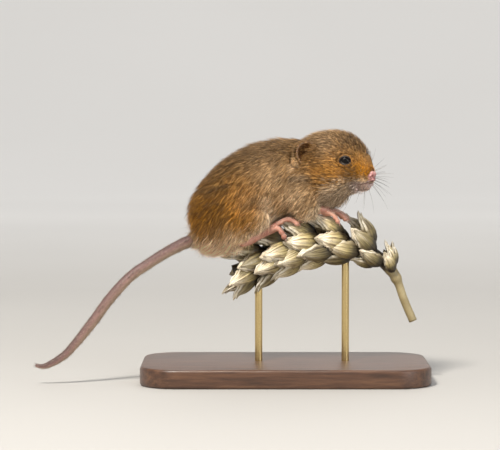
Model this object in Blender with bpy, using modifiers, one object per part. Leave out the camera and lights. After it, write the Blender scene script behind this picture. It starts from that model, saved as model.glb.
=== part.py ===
"""A harvest mouse at life size, gripping a short cut length of a ripe wheat ear on a plain stand.

Metres, +Z up. The mouse faces +X and turns its head towards -Y. The origin is the middle of the
stand's underside. The flesh solids reach out to the tips of the short coat.
"""

import math
import random

import bmesh
import bpy
import numpy as np
from mathutils import Matrix, Vector

MM = 0.001
CLEARANCE = 0.3  # in mm, left between neighbouring nodes

# Driving sizes, in millimetres unless a name says otherwise
HEAD_YAW_DEG = 27.0  # the head's turn towards -Y
HEAD_PIVOT = (5.3, 0.0)  # x and y of the point that the head turns about
EYE_RADIUS = 1.62
EYE_PLACE = (13.55, 4.25, 58.3)  # along the head, out to its side, height
EYE_OUT_DEG = 64.0  # the eye's own axis, out from the head's
EYE_UP_DEG = 8.0
LID_RADIUS = 0.38
LID_OPENING = (1.5, 1.15)  # half its length and height
EAR_PLACE = (3.5, 5.9, 60.1)
EAR_HEIGHT = 6.5
EAR_WIDTH = 5.7
EAR_DEPTH = 1.9
EAR_WALL = 0.6
TOE_RADIUS = 0.62
FINGER_RADIUS = 0.5
CLAW_LENGTH = 0.9
NOSTRIL_PLACE = (20.35, 0.72, 54.35)
NOSTRIL_SIZE = (0.45, 0.3, 0.35)
MOUTH_LINE = ((14.4, 2.9, 52.0), (16.2, 2.75, 52.1), (18.1, 2.1, 52.4), (19.3, 1.0, 52.8), (19.7, 0.0, 53.2))
MOUTH_RADIUS = 0.22
LEG_CUT_MIDDLE = (-11.4, 10.5, 43.6)  # the egg along which a hind leg is parted from the rump
LEG_CUT_SIZE = (8.6, 7.6, 8.9)
ARM_CUT_MIDDLE = (5.6, 7.2, 47.0)
ARM_CUT_SIZE = (4.9, 4.6, 5.6)
TAIL_NODES = 4
TAIL_NODE_END = 0.0025  # share of the tail's length that each end is drawn back by
STAND_BASE = (76.0, 44.0, 5.0)
STAND_CORNER = 10.0
STAND_EDGE = 0.8
STAND_ROD_RADIUS = 1.0
STAND_ROD_X = (-7.0, 16.0)
STAND_ROD_INTO_BASE = 2.5
STEM_RADIUS = 1.1

# Cell of the clay that each form is fused from, in mm
BODY_CELL = 0.31
FOOT_CELL = 0.2
PAW_CELL = 0.18

# Triangles that each soft form is thinned to
HEAD_TRIANGLES = 1560
NECK_TRIANGLES = 500
TORSO_TRIANGLES = 700
RUMP_TRIANGLES = 1000
HINDLEG_TRIANGLES = 560
FORELEG_TRIANGLES = 360
HINDFOOT_TRIANGLES = 750
FOREPAW_TRIANGLES = 560

# Colours of the nodes
FUR = (0.42, 0.24, 0.11)
SKIN = (0.72, 0.42, 0.36)
EAR_SKIN = (0.5, 0.3, 0.2)
EYE_BLACK = (0.01, 0.01, 0.012)
STRAW = (0.66, 0.56, 0.36)
BRASS = (0.6, 0.5, 0.3)
DARK_WOOD = (0.1, 0.05, 0.03)

# Side outline of the body in mm: top x, top z, underside x, underside z, half width, middle y
BODY_SECTIONS = (
    (-24.2, 41.0, -22.8, 36.4, 3.0, 0.0),
    (-24.5, 45.0, -20.6, 34.4, 6.4, 0.0),
    (-22.9, 49.4, -16.8, 33.7, 8.8, 0.0),
    (-19.3, 54.1, -11.8, 35.0, 9.9, 0.0),
    (-14.1, 58.6, -7.2, 38.6, 10.0, 0.0),
    (-7.8, 61.8, -3.0, 42.0, 9.5, 0.0),
    (-1.8, 63.0, 1.0, 43.6, 8.9, 0.0),
    (3.0, 63.1, 6.0, 43.9, 8.3, -0.2),
    (7.0, 63.2, 10.8, 45.2, 7.4, -0.9),
    (10.0, 62.6, 14.4, 46.8, 6.2, -2.2),
)

# The head from nape to muzzle in mm: along the head, crown z, throat z, half width
HEAD_SECTIONS = (
    (-1.5, 61.5, 49.5, 5.6),
    (2.0, 64.1, 48.6, 6.7),
    (5.5, 65.2, 48.9, 7.0),
    (9.0, 65.4, 49.3, 6.7),
    (12.0, 64.8, 49.7, 5.8),
    (14.5, 63.3, 50.3, 4.7),
    (16.7, 61.0, 51.0, 3.7),
    (18.6, 58.5, 51.9, 2.7),
    (19.8, 56.5, 53.0, 1.6),
)

# Middle line of the tail in mm, from inside the rump to the tip, with its radius
TAIL_LINE = (
    (-20.0, 0.0, 39.4, 1.5),
    (-23.6, 0.0, 37.6, 1.5),
    (-27.8, -1.5, 35.8, 1.42),
    (-31.7, -3.2, 33.8, 1.3),
    (-35.6, -5.0, 31.4, 1.26),
    (-40.7, -7.0, 27.9, 1.25),
    (-45.9, -8.6, 22.3, 1.28),
    (-51.0, -9.8, 15.4, 1.22),
    (-56.2, -10.6, 9.1, 1.02),
    (-58.7, -10.8, 6.9, 0.94),
    (-61.3, -10.9, 5.4, 0.8),
    (-63.4, -10.8, 4.7, 0.62),
    (-65.3, -10.6, 5.0, 0.4),
)

# Middle line of the wheat ear and its stem in mm, from the cut stem to the cut tip
EAR_LINE = (
    (34.0, 0.0, 15.6),
    (31.6, 0.0, 21.2),
    (29.9, 0.0, 26.0),
    (28.2, 0.0, 29.0),
    (24.6, 0.0, 32.6),
    (21.2, 0.0, 34.7),
    (17.2, 0.0, 35.8),
    (13.3, 0.0, 36.0),
    (9.3, 0.0, 35.8),
    (5.3, 0.0, 35.2),
    (1.3, 0.0, 34.2),
    (-2.7, 0.0, 32.9),
    (-6.6, 0.0, 31.3),
    (-10.6, 0.0, 29.9),
    (-14.6, 0.0, 28.6),
    (-18.6, 0.0, 27.4),
)


def mm(x, y, z):
    return Vector((x, y, z)) * MM


def head_point(along, out, height, side):
    """A point of the head: along its own axis, out to side +1 (left) or -1 (right), and its height."""
    yaw = math.radians(HEAD_YAW_DEG)
    x = HEAD_PIVOT[0] + along * math.cos(yaw) + side * out * math.sin(yaw)
    y = HEAD_PIVOT[1] - along * math.sin(yaw) + side * out * math.cos(yaw)
    return mm(x, y, height)


def head_direction(forward, out, up, side):
    """The unit direction with these shares of forward, outward and up on that side of the head."""
    start = head_point(0.0, 0.0, 0.0, side)
    return (head_point(forward, out, up, side) - start).normalized()


def smooth_rows(rows, count):
    """count rows read from a smooth curve through the given rows."""
    rows = np.array(rows, float)
    padded = np.vstack([2 * rows[0] - rows[1], rows, 2 * rows[-1] - rows[-2]])
    found = []
    for place in np.linspace(0.0, len(rows) - 1.000001, count):
        i = int(place)
        t = place - i
        a, b, c, d = padded[i : i + 4]
        found.append(
            0.5 * (2 * b + (c - a) * t + (2 * a - 5 * b + 4 * c - d) * t**2 + (3 * b - a - 3 * c + d) * t**3)
        )
    return np.array(found)


def new_object(name, bm, collection):
    mesh = bpy.data.meshes.new(name)
    bm.to_mesh(mesh)
    bm.free()
    obj = bpy.data.objects.new(name, mesh)
    collection.objects.link(obj)
    return obj


def apply_modifiers(obj):
    """Replaces the object's mesh with the one that its modifiers make."""
    graph = bpy.context.evaluated_depsgraph_get()
    mesh = bpy.data.meshes.new_from_object(obj.evaluated_get(graph))
    obj.modifiers.clear()
    obj.data = mesh


def loft(name, rings, sides):
    """A closed loft. Each ring is (middle, radius vector upwards, radius vector sideways)."""
    bm = bmesh.new()
    loops = []
    for middle, up, across in rings:
        turns = [2 * math.pi * i / sides for i in range(sides)]
        loops.append([bm.verts.new(middle + up * math.cos(a) + across * math.sin(a)) for a in turns])
    for one, two in zip(loops, loops[1:]):
        for i in range(sides):
            bm.faces.new((one[i], one[i - 1], two[i - 1], two[i]))
    for loop in (loops[0], loops[-1]):
        bm.faces.new(loop)
    bmesh.ops.recalc_face_normals(bm, faces=bm.faces)
    return new_object(name, bm, shapes)


def ellipsoid(name, middle, radii, turn=None, segments=24):
    """An ellipsoid of these radii in mm, turned by a matrix."""
    bm = bmesh.new()
    bmesh.ops.create_uvsphere(bm, u_segments=segments, v_segments=segments // 2, radius=1.0)
    place = Matrix.Translation(middle) @ (turn or Matrix.Identity(3)).to_4x4()
    bm.transform(place @ Matrix.Diagonal([*(r * MM for r in radii), 1.0]))
    return new_object(name, bm, shapes)


def tube(name, points, radii, resolution=4):
    """A closed round tube through these points in metres, with a radius in mm at each."""
    curve = bpy.data.curves.new(name, "CURVE")
    curve.dimensions = "3D"
    curve.bevel_depth = 1.0
    curve.bevel_resolution = resolution
    curve.use_fill_caps = True
    spline = curve.splines.new("POLY")
    spline.points.add(len(points) - 1)
    for point, place, radius in zip(spline.points, points, radii):
        point.co = (*place, 1.0)
        point.radius = radius * MM
    guide = bpy.data.objects.new(name, curve)
    shapes.objects.link(guide)
    graph = bpy.context.evaluated_depsgraph_get()
    mesh = bpy.data.meshes.new_from_object(guide.evaluated_get(graph))
    bpy.data.objects.remove(guide)
    bm = bmesh.new()
    bm.from_mesh(mesh)
    bmesh.ops.remove_doubles(bm, verts=bm.verts, dist=1e-6)
    bmesh.ops.recalc_face_normals(bm, faces=bm.faces)
    return new_object(name, bm, shapes)


def tapered(rows, count):
    """(points in metres, radii in mm) along a smooth line through rows of x, y, z and radius in mm."""
    found = smooth_rows(rows, count)
    return [Vector(row[:3]) * MM for row in found], [row[3] for row in found]


def frame_towards(direction, up=Vector((0.0, 0.0, 1.0))):
    """A turn whose z axis is the direction and whose y axis is as near to up as can be."""
    z = direction.normalized()
    x = up.cross(z).normalized()
    y = z.cross(x)
    return Matrix((x, y, z)).transposed()


def fuse(name, pieces, voxel, smoothing, triangles=None):
    """Joins closed pieces into one smooth skin, as of clay, and thins it to about that many triangles."""
    bm = bmesh.new()
    for piece in pieces:
        bm.from_mesh(piece.data)
        bpy.data.objects.remove(piece)
    obj = new_object(name, bm, shapes)
    remesh = obj.modifiers.new("Skin", "REMESH")
    remesh.mode = "VOXEL"
    remesh.voxel_size = voxel * MM
    smooth = obj.modifiers.new("Smooth", "SMOOTH")
    smooth.factor = 0.5
    smooth.iterations = smoothing
    apply_modifiers(obj)
    if triangles:
        thin(obj, triangles)
    return obj


def is_closed(obj):
    bm = bmesh.new()
    bm.from_mesh(obj.data)
    closed = all(edge.is_manifold for edge in bm.edges)
    bm.free()
    return closed


def thin(obj, triangles):
    """Thins a closed skin to about that many triangles, or a few more where that would tear it."""
    full = obj.data.copy()
    full.calc_loop_triangles()
    share = triangles / len(full.loop_triangles)
    while share < 1.0:
        obj.data = full.copy()
        decimate = obj.modifiers.new("Thin", "DECIMATE")
        decimate.ratio = share
        decimate.use_collapse_triangulate = True
        apply_modifiers(obj)
        keep_largest(obj)
        if is_closed(obj):
            break
        share *= 1.04


def keep_largest(obj):
    """Keeps the largest closed surface of a mesh, by its number of faces."""
    bm = bmesh.new()
    bm.from_mesh(obj.data)
    left = set(bm.faces)
    shells = []
    while left:
        reached = {left.pop()}
        edge = list(reached)
        while edge:
            face = edge.pop()
            near = {f for e in face.edges for f in e.link_faces} - reached
            reached |= near
            edge += near
        left -= reached
        shells.append(reached)
    shells.sort(key=len)
    scraps = [face for shell in shells[:-1] for face in shell]
    bmesh.ops.delete(bm, geom=scraps, context="FACES")
    bm.to_mesh(obj.data)
    bm.free()


def copy_of(obj, name):
    twin = bpy.data.objects.new(name, obj.data.copy())
    shapes.objects.link(twin)
    return twin


def combine(obj, others, operation, solver="EXACT"):
    """A Boolean of obj with each of the other objects, applied. The others are then removed."""
    for other in others:
        modifier = obj.modifiers.new(operation, "BOOLEAN")
        modifier.operation = operation
        modifier.solver = solver
        modifier.object = other
    apply_modifiers(obj)
    for other in others:
        bpy.data.objects.remove(other)
    keep_largest(obj)
    return obj


def union(name, pieces, solver="MANIFOLD"):
    """One Boolean union on a collection of closed pieces, which are then removed."""
    body = pieces[0]
    body.name = name
    rest = bpy.data.collections.new(name + "_pieces")
    for piece in pieces[1:]:
        shapes.objects.unlink(piece)
        rest.objects.link(piece)
    bpy.context.scene.collection.children.link(rest)
    modifier = body.modifiers.new("Join", "BOOLEAN")
    modifier.operation = "UNION"
    modifier.solver = solver
    modifier.operand_type = "COLLECTION"
    modifier.collection = rest
    apply_modifiers(body)
    for piece in pieces[1:]:
        bpy.data.objects.remove(piece)
    bpy.data.collections.remove(rest)
    keep_largest(body)
    return body


def slice_off(obj, point, normal):
    """Removes what lies on the side of the plane that its normal points to, and caps the cut."""
    bm = bmesh.new()
    bm.from_mesh(obj.data)
    everything = bm.verts[:] + bm.edges[:] + bm.faces[:]
    cut = bmesh.ops.bisect_plane(
        bm, geom=everything, dist=1e-7, plane_co=point, plane_no=normal, clear_outer=True
    )["geom_cut"]
    bmesh.ops.edgeloop_fill(bm, edges=[e for e in cut if isinstance(e, bmesh.types.BMEdge)])
    bmesh.ops.triangulate(bm, faces=[f for f in bm.faces if len(f.verts) > 3])
    bmesh.ops.recalc_face_normals(bm, faces=bm.faces)
    bm.to_mesh(obj.data)
    bm.free()
    keep_largest(obj)
    return obj


def paint(obj, name, colour, roughness, metallic=0.0):
    """Gives a finished node its name and its own material, and moves it to the collection of parts."""
    material = bpy.data.materials.new(name)
    material.use_nodes = True
    shader = material.node_tree.nodes["Principled BSDF"]
    shader.inputs["Base Color"].default_value = (*colour, 1.0)
    shader.inputs["Roughness"].default_value = roughness
    shader.inputs["Metallic"].default_value = metallic
    obj.name = name
    obj.data.name = name
    obj.data.materials.clear()
    obj.data.materials.append(material)
    obj.data.shade_smooth()
    obj.data.set_sharp_from_angle(angle=math.radians(45))
    shapes.objects.unlink(obj)
    parts.objects.link(obj)


# Body and head


def body_rings():
    for tx, tz, bx, bz, half, y in smooth_rows(BODY_SECTIONS, 46):
        top = mm(tx, y, tz)
        under = mm(bx, y, bz)
        yield (top + under) / 2, (top - under) / 2, Vector((0.0, half * MM, 0.0))


def head_rings():
    across = head_point(0.0, 1.0, 0.0, 1) - head_point(0.0, 0.0, 0.0, 1)
    for along, top, under, half in smooth_rows(HEAD_SECTIONS, 40):
        middle = head_point(along, 0.0, (top + under) / 2, 1)
        yield middle, Vector((0.0, 0.0, (top - under) / 2 * MM)), across * half


def lid_ring(side):
    """The swollen rim of skin round the eye, a little oval, with its corners drawn out."""
    look = head_direction(math.cos(math.radians(EYE_OUT_DEG)), math.sin(math.radians(EYE_OUT_DEG)),
                          math.sin(math.radians(EYE_UP_DEG)), side)
    turn = frame_towards(look)
    middle = head_point(*EYE_PLACE, side) + look * 0.75 * MM
    bm = bmesh.new()
    count, sides = 28, 10
    loops = []
    for i in range(count):
        a = 2 * math.pi * i / count
        around = (LID_OPENING[0] * math.cos(a), LID_OPENING[1] * math.sin(a), -0.15 * math.cos(2 * a))
        rim = turn @ Vector(around) * MM
        outward = (turn @ Vector((math.cos(a), math.sin(a), 0.0))).normalized()
        loops.append([
            bm.verts.new(middle + rim + (outward * math.cos(b) + look * math.sin(b)) * LID_RADIUS * MM)
            for b in (2 * math.pi * j / sides for j in range(sides))
        ])
    for one, two in zip(loops, loops[1:] + loops[:1]):
        for j in range(sides):
            bm.faces.new((one[j], one[j - 1], two[j - 1], two[j]))
    bmesh.ops.recalc_face_normals(bm, faces=bm.faces)
    return new_object("lid", bm, shapes)


def face_pieces():
    """Cheeks, whisker pads, lower jaw, nose pad and lids."""
    found = []
    axes = Matrix((head_direction(1, 0, 0, 1), head_direction(0, 1, 0, 1), Vector((0, 0, 1)))).transposed()
    for side in (1, -1):
        found += [
            ellipsoid("cheek", head_point(9.0, 3.2, 53.8, side), (5.4, 3.4, 4.6), axes),
            ellipsoid("whisker_pad", head_point(16.9, 1.75, 53.7, side), (2.8, 1.75, 2.3), axes),
            ellipsoid("upper_lip", head_point(18.2, 1.15, 53.3, side), (1.7, 1.3, 1.1), axes),
            ellipsoid("brow", head_point(12.6, 3.4, 59.8, side), (2.6, 1.9, 1.9), axes),
            lid_ring(side),
        ]
    found += [
        ellipsoid("lower_jaw", head_point(15.7, 0.0, 51.7, 1), (3.5, 2.0, 1.45), axes),
        ellipsoid("throat", mm(11.2, -2.2, 50.8), (5.7, 5.2, 4.9)),
        ellipsoid("nose_bridge", head_point(16.6, 0.0, 57.6, 1), (2.9, 2.0, 2.7), axes),
        ellipsoid("nose_pad", head_point(19.7, 0.0, 54.7, 1), (0.9, 1.25, 1.15), axes),
    ]
    return found


def limb_pieces():
    """The furred upper legs, which swell out of the body: haunch, knee and shank, shoulder and elbow."""
    found = []
    for side in (1, -1):
        found += [
            ellipsoid("haunch", mm(-13.2, side * 5.2, 45.0), (8.6, 5.0, 9.4)),
            ellipsoid("knee", mm(-8.4, side * 6.8, 43.9), (4.3, 3.2, 4.3)),
            tube("shank", *tapered(((-7.6, side * 7.2, 42.9, 2.3), (-10.0, side * 6.8, 40.0, 1.8),
                                    (-11.5, side * 6.4, 38.0, 1.5)), 8)),
            ellipsoid("shoulder", mm(4.4, side * 5.4, 50.6), (5.0, 3.2, 6.2)),
            ellipsoid("elbow", mm(5.8, side * 5.0 - 0.4, 46.2), (3.4, 2.4, 3.2)),
            tube("forearm", *tapered(((6.2, side * 4.8, 45.8, 1.9), (8.3, side * 4.0, 45.3, 1.5),
                                      (9.6, side * 3.5, 45.0, 1.15)), 8)),
        ]
    return found


# Feet


def digit(name, joints, radius, grow, side):
    """One toe: a bent tube through its joints, a round pad at its end, and a claw."""
    rows = [(x, side * y, z, radius * r + grow) for x, y, z, r in joints]
    points, radii = tapered(rows, 2 * len(rows))
    tip = points[-1]
    on = (tip - points[-3]).normalized()
    claw_line = [
        tip,
        tip + on * 0.5 * CLAW_LENGTH * MM + mm(0, 0, -0.12),
        tip + on * CLAW_LENGTH * MM + mm(0, 0, -0.45),
    ]
    return [
        tube(name, points, radii),
        ellipsoid(name + "_pad", tip + mm(0, 0, -0.12), [radius * 1.12 + grow] * 3, segments=12),
        tube(name + "_claw", claw_line, [0.34 + grow, 0.28 + grow, 0.14 + grow]),
    ]


# Joints of the right hind foot's toes in mm, outer toe first: x, y out from the middle, z, share of radius
HIND_TOES = (
    ((-3.8, 5.9, 40.0, 1.1), (-2.2, 6.6, 40.6, 1.0), (-1.1, 6.9, 39.6, 0.95), (-0.4, 7.0, 38.5, 0.9)),
    ((-3.6, 5.2, 40.6, 1.15), (-1.2, 5.1, 42.2, 1.0), (0.9, 5.1, 42.9, 1.0), (3.0, 5.2, 41.9, 1.0)),
    ((-3.6, 4.4, 40.7, 1.15), (-1.0, 4.0, 42.3, 1.0), (1.4, 3.6, 43.0, 0.95), (3.6, 3.4, 42.4, 0.95)),
    ((-3.7, 3.7, 40.6, 1.15), (-1.4, 2.9, 42.1, 1.0), (0.6, 2.3, 42.7, 0.95), (2.6, 1.9, 42.2, 0.9)),
    ((-4.6, 3.4, 40.2, 1.05), (-3.2, 2.2, 41.2, 0.95), (-1.8, 1.3, 41.3, 0.9)),
)
# The forepaw's four fingers, outer first
FINGERS = (
    ((10.6, 4.2, 44.6, 1.2), (11.9, 5.2, 44.4, 1.0), (13.0, 5.9, 43.5, 0.95), (13.7, 6.2, 42.5, 0.9)),
    ((11.0, 3.7, 44.8, 1.25), (12.9, 4.1, 44.8, 1.0), (14.6, 4.5, 44.0, 1.0), (15.7, 4.6, 43.0, 0.95)),
    ((11.1, 3.1, 44.9, 1.25), (13.1, 3.0, 44.9, 1.0), (15.0, 2.9, 44.1, 1.0), (16.2, 2.8, 43.2, 0.95)),
    ((10.8, 2.6, 44.7, 1.2), (12.4, 2.1, 44.6, 1.0), (13.8, 1.5, 44.1, 0.95), (14.9, 1.2, 43.4, 0.9)),
)


def hind_foot(side, grow=0.0):
    sole = (
        (-11.6, side * 6.4, 37.0, 1.35 + grow),
        (-9.6, side * 6.0, 37.6, 1.5 + grow),
        (-6.6, side * 5.3, 39.1, 1.4 + grow),
        (-3.8, side * 4.8, 40.5, 1.5 + grow),
    )
    found = [
        tube("sole", *tapered(sole, 10)),
        ellipsoid("heel", mm(-11.4, side * 6.4, 37.0), [1.4 + grow] * 3, segments=16),
        ellipsoid("ball", mm(-3.7, side * 4.6, 40.3), [1.7 + grow, 2.1 + grow, 1.15 + grow], segments=16),
    ]
    for joints in HIND_TOES:
        found += digit("toe", joints, TOE_RADIUS, grow, side)
    return found


def forepaw(side, grow=0.0):
    wrist = (
        (8.4 - grow, side * 4.4, 45.2, 1.0 + grow),
        (9.6, side * 4.0, 45.0, 1.0 + grow),
        (11.2, side * 3.4, 44.7, 1.2 + grow),
    )
    found = [
        tube("wrist", *tapered(wrist, 8)),
        ellipsoid("palm", mm(11.1, side * 3.4, 44.5), [1.5 + grow, 1.5 + grow, 0.9 + grow], segments=16),
    ]
    for joints in FINGERS:
        found += digit("finger", joints, FINGER_RADIUS, grow, side)
    return found


# Ears, eyes and tail


def pinna(side, grow=0.0):
    """The cup of the outer ear: an oval bowl with a rolled back rim, its foot sunk in the head."""
    out = head_direction(0.42, 1.0, 0.12, side)
    turn = frame_towards(out, Vector((0, 0, 1)) - head_direction(1, 0, 0, side) * 0.25)
    middle = head_point(*EAR_PLACE, side)
    bm = bmesh.new()
    rings, sides = 4, 16
    back = -side  # the ear frame's x axis points forward on the right side and back on the left
    centre = bm.verts.new((0, 0, -EAR_DEPTH))
    loops = []
    for r in range(1, rings + 1):
        share = r / rings
        loop = []
        for i in range(sides):
            a = 2 * math.pi * i / sides
            x, y = math.cos(a), math.sin(a)
            rise = 0.9 * max(0.0, x * -back) * share**2
            loop.append(bm.verts.new((
                x * (EAR_WIDTH / 2 + grow) * share,
                y * (EAR_HEIGHT / 2 + grow) * share,
                -EAR_DEPTH * (1 - share**2) + rise,
            )))
        loops.append(loop)
    for i in range(sides):
        bm.faces.new((centre, loops[0][i - 1], loops[0][i]))
    for one, two in zip(loops, loops[1:]):
        for i in range(sides):
            bm.faces.new((one[i - 1], two[i - 1], two[i], one[i]))
    bmesh.ops.recalc_face_normals(bm, faces=bm.faces)
    bm.transform(Matrix.Translation(middle) @ (turn * MM).to_4x4())
    obj = new_object("pinna", bm, shapes)
    wall = obj.modifiers.new("Wall", "SOLIDIFY")
    wall.thickness = (EAR_WALL + 2 * grow) * MM
    wall.offset = 0.0
    apply_modifiers(obj)
    return obj


def eyeball(side, grow=0.0):
    turn = frame_towards(head_direction(1.0, 2.0, 0.2, side))
    return ellipsoid("eyeball", head_point(*EYE_PLACE, side), [EYE_RADIUS + grow] * 3, turn, segments=16)


def tail_piece(first, last, count, grow=0.0):
    """The length of tail between two shares of its run."""
    points, radii = tapered(TAIL_LINE, 200)
    lengths = [0.0]
    for one, two in zip(points, points[1:]):
        lengths.append(lengths[-1] + (two - one).length)
    places = [lengths[-1] * (first + (last - first) * i / (count - 1)) for i in range(count)]
    coordinates = [np.interp(places, lengths, [p[k] for p in points]) for k in range(3)]
    line = [Vector(xyz) for xyz in zip(*coordinates)]
    line[0] += (line[0] - line[1]).normalized() * grow * MM
    return tube("tail", line, [r + grow for r in np.interp(places, lengths, radii)])


# Wheat ear


def ear_frame(distance):
    """(point, way towards the ear's tip, upward normal, normal towards -Y) at this distance in mm."""
    line = [Vector(row) * MM for row in smooth_rows(EAR_LINE, 160)]
    run = 0.0
    for one, two in zip(line, line[1:]):
        step = (two - one).length
        on = (two - one) / step
        if run + step >= distance * MM:
            break
        run += step
    return one + on * (distance * MM - run), on, Vector((on.z, 0, -on.x)), Vector((0, -1, 0))


def husk(start, on, outward, length, width, depth):
    """One husk of a spikelet: a keeled, boat-shaped scale that narrows to a beak."""
    across = on.cross(outward).normalized()
    outward = across.cross(on).normalized()
    rings = []
    for share, wide, lift in ((0.0, 0.4, 0.0), (0.2, 0.88, 0.06), (0.45, 1.0, 0.12), (0.75, 0.68, 0.06),
                              (1.0, 0.1, -0.06)):
        middle = start + on * (length * share * MM) + outward * (lift * depth * MM)
        rings.append((middle, outward * (depth * wide / 2 * MM), across * (width * wide / 2 * MM)))
    return loft("husk", rings, 5)


SPIKELET_PITCH = 3.5  # mm along the stem from one spikelet to the next, on the other side
SPIKELET_FIRST = 14.2  # mm from the cut stem to the first spikelet
SPIKELETS = 12
SPIKELET_SIDE_DEG = (4.0, 184.0)  # round the ear from its top, towards -Y
HUSK_FAN_DEG = (-73.0, -25.0, 25.0, 73.0)
HUSK_LENGTH = 10.4
HUSK_WIDTH = 5.8
HUSK_DEPTH = 3.9


def wheat_husks():
    """The husks of every spikelet: two outer glumes and two inner ones that stand further out."""
    draw = random.Random(7)
    found = []
    for k in range(SPIKELETS):
        root, on, up, near = ear_frame(SPIKELET_FIRST + k * SPIKELET_PITCH)
        size_here = min(1.0, 0.58 + 0.16 * k) * (1.0 - 0.025 * max(0, k - 7))
        for fan in HUSK_FAN_DEG:
            azimuth = math.radians(SPIKELET_SIDE_DEG[k % 2] + fan + draw.uniform(-4, 4))
            outward = up * math.cos(azimuth) + near * math.sin(azimuth)
            inner = abs(fan) < 50.0
            lean = math.radians((32.0 if inner else 26.0) + draw.uniform(-2, 2))
            way = on * math.cos(lean) + outward * math.sin(lean)
            size = size_here * draw.uniform(0.95, 1.05)
            start = root + outward * 1.5 * size_here * MM + on * (1.6 * size_here * MM if inner else 0.0)
            found.append(husk(start, way, outward, HUSK_LENGTH * size, HUSK_WIDTH * size, HUSK_DEPTH * size))
    return found


def stem_points(first, last, count):
    places = [first + (last - first) * i / (count - 1) for i in range(count)]
    return [ear_frame(place)[0] for place in places]


# Stand


def base_slab():
    bm = bmesh.new()
    length, width, height = (size * MM for size in STAND_BASE)
    radius = STAND_CORNER * MM
    corners = []
    for turn in range(4):
        sx, sy = ((1, 1), (-1, 1), (-1, -1), (1, -1))[turn]
        for step in range(7):
            a = math.radians(90 * turn + 15 * step)
            corners.append(bm.verts.new((
                sx * (length / 2 - radius) + radius * math.cos(a),
                sy * (width / 2 - radius) + radius * math.sin(a),
                0.0,
            )))
    bottom = bm.faces.new(corners)
    raised = bmesh.ops.extrude_face_region(bm, geom=[bottom])["geom"]
    top = [v for v in raised if isinstance(v, bmesh.types.BMVert)]
    bmesh.ops.translate(bm, verts=top, vec=(0, 0, height))
    bmesh.ops.recalc_face_normals(bm, faces=bm.faces)
    slab = new_object("stand_base", bm, shapes)
    edge = slab.modifiers.new("Edge", "BEVEL")
    edge.width = STAND_EDGE * MM
    edge.segments = 2
    edge.limit_method = "ANGLE"
    apply_modifiers(slab)
    return slab


def rod(x, grow=0.0):
    """A rod from inside the base to inside the wheat ear's stem."""
    top = [p for p in stem_points(0.0, 66.0, 120) if p.x > x * MM][-1].z - 1.6 * MM
    foot = (STAND_BASE[2] - STAND_ROD_INTO_BASE - grow) * MM
    return tube("rod", [Vector((x * MM, 0, foot)), Vector((x * MM, 0, top + grow * MM))],
                [STAND_ROD_RADIUS + grow] * 2)


for old in list(bpy.data.objects):
    bpy.data.objects.remove(old)
parts = bpy.data.collections.new("harvest_mouse")
shapes = bpy.data.collections.new("shapes")
bpy.context.scene.collection.children.link(parts)
bpy.context.scene.collection.children.link(shapes)

clay = [loft("body", list(body_rings()), 40), loft("head", list(head_rings()), 36)]
whole = fuse("whole", clay + face_pieces() + limb_pieces(), BODY_CELL, 4)

# Head, with its eye sockets, nostrils and mouth
NECK_FRONT = (mm(7.2, 0, 55), Vector((1.0, -0.34, -0.08)).normalized())
NECK_BACK = (mm(2.6, 0, 55), Vector((1.0, -0.12, 0.12)).normalized())
WAIST = (mm(-2.2, 0, 53), Vector((1.0, 0.0, 0.1)).normalized())


def between(name, front, back, triangles):
    """The slice of the whole body between two planes, each drawn back by half the gap."""
    piece = copy_of(whole, name)
    if front:
        slice_off(piece, front[0] - front[1] * CLEARANCE / 2 * MM, front[1])
    if back:
        slice_off(piece, back[0] + back[1] * CLEARANCE / 2 * MM, -back[1])
    thin(piece, triangles)
    return piece


head = between("head", None, NECK_FRONT, HEAD_TRIANGLES)
neck = between("neck", NECK_FRONT, NECK_BACK, NECK_TRIANGLES)
torso = between("torso", NECK_BACK, WAIST, TORSO_TRIANGLES)
rump = between("rump", WAIST, None, RUMP_TRIANGLES)


def nostril(side):
    return ellipsoid("nostril", head_point(*NOSTRIL_PLACE, side), NOSTRIL_SIZE, segments=10)


def mouth_cut():
    """A thin wedge along the lips, from the corner of one side of the mouth to the other."""
    points = [head_point(*row, -1) for row in MOUTH_LINE]
    points += [head_point(*row, 1) for row in MOUTH_LINE[-2::-1]]
    return tube("mouth", points, [MOUTH_RADIUS] * len(points), resolution=2)


combine(head, [eyeball(side, CLEARANCE) for side in (1, -1)], "DIFFERENCE")
combine(head, [nostril(1), nostril(-1), mouth_cut()], "DIFFERENCE")

pinnas = {side: pinna(side) for side in (1, -1)}
for body in (head, neck):
    combine(body, [pinna(side, 1.5 * CLEARANCE) for side in (1, -1)], "DIFFERENCE")


# Upper legs, parted from the body along egg-shaped cuts
def leg_cut(side, grow):
    x, y, z = LEG_CUT_MIDDLE
    return ellipsoid("leg_cut", mm(x, side * y, z), [size + grow for size in LEG_CUT_SIZE], segments=16)


def arm_cut(side, grow):
    x, y, z = ARM_CUT_MIDDLE
    return ellipsoid("arm_cut", mm(x, side * y, z), [size + grow for size in ARM_CUT_SIZE], segments=12)


def foot_clearance(side):
    return fuse("clearance", hind_foot(side, CLEARANCE + 0.1), 0.3, 2, 560)


def paw_clearance(side):
    return fuse("clearance", forepaw(side, CLEARANCE + 0.2), 0.2, 2, 620)


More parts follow.
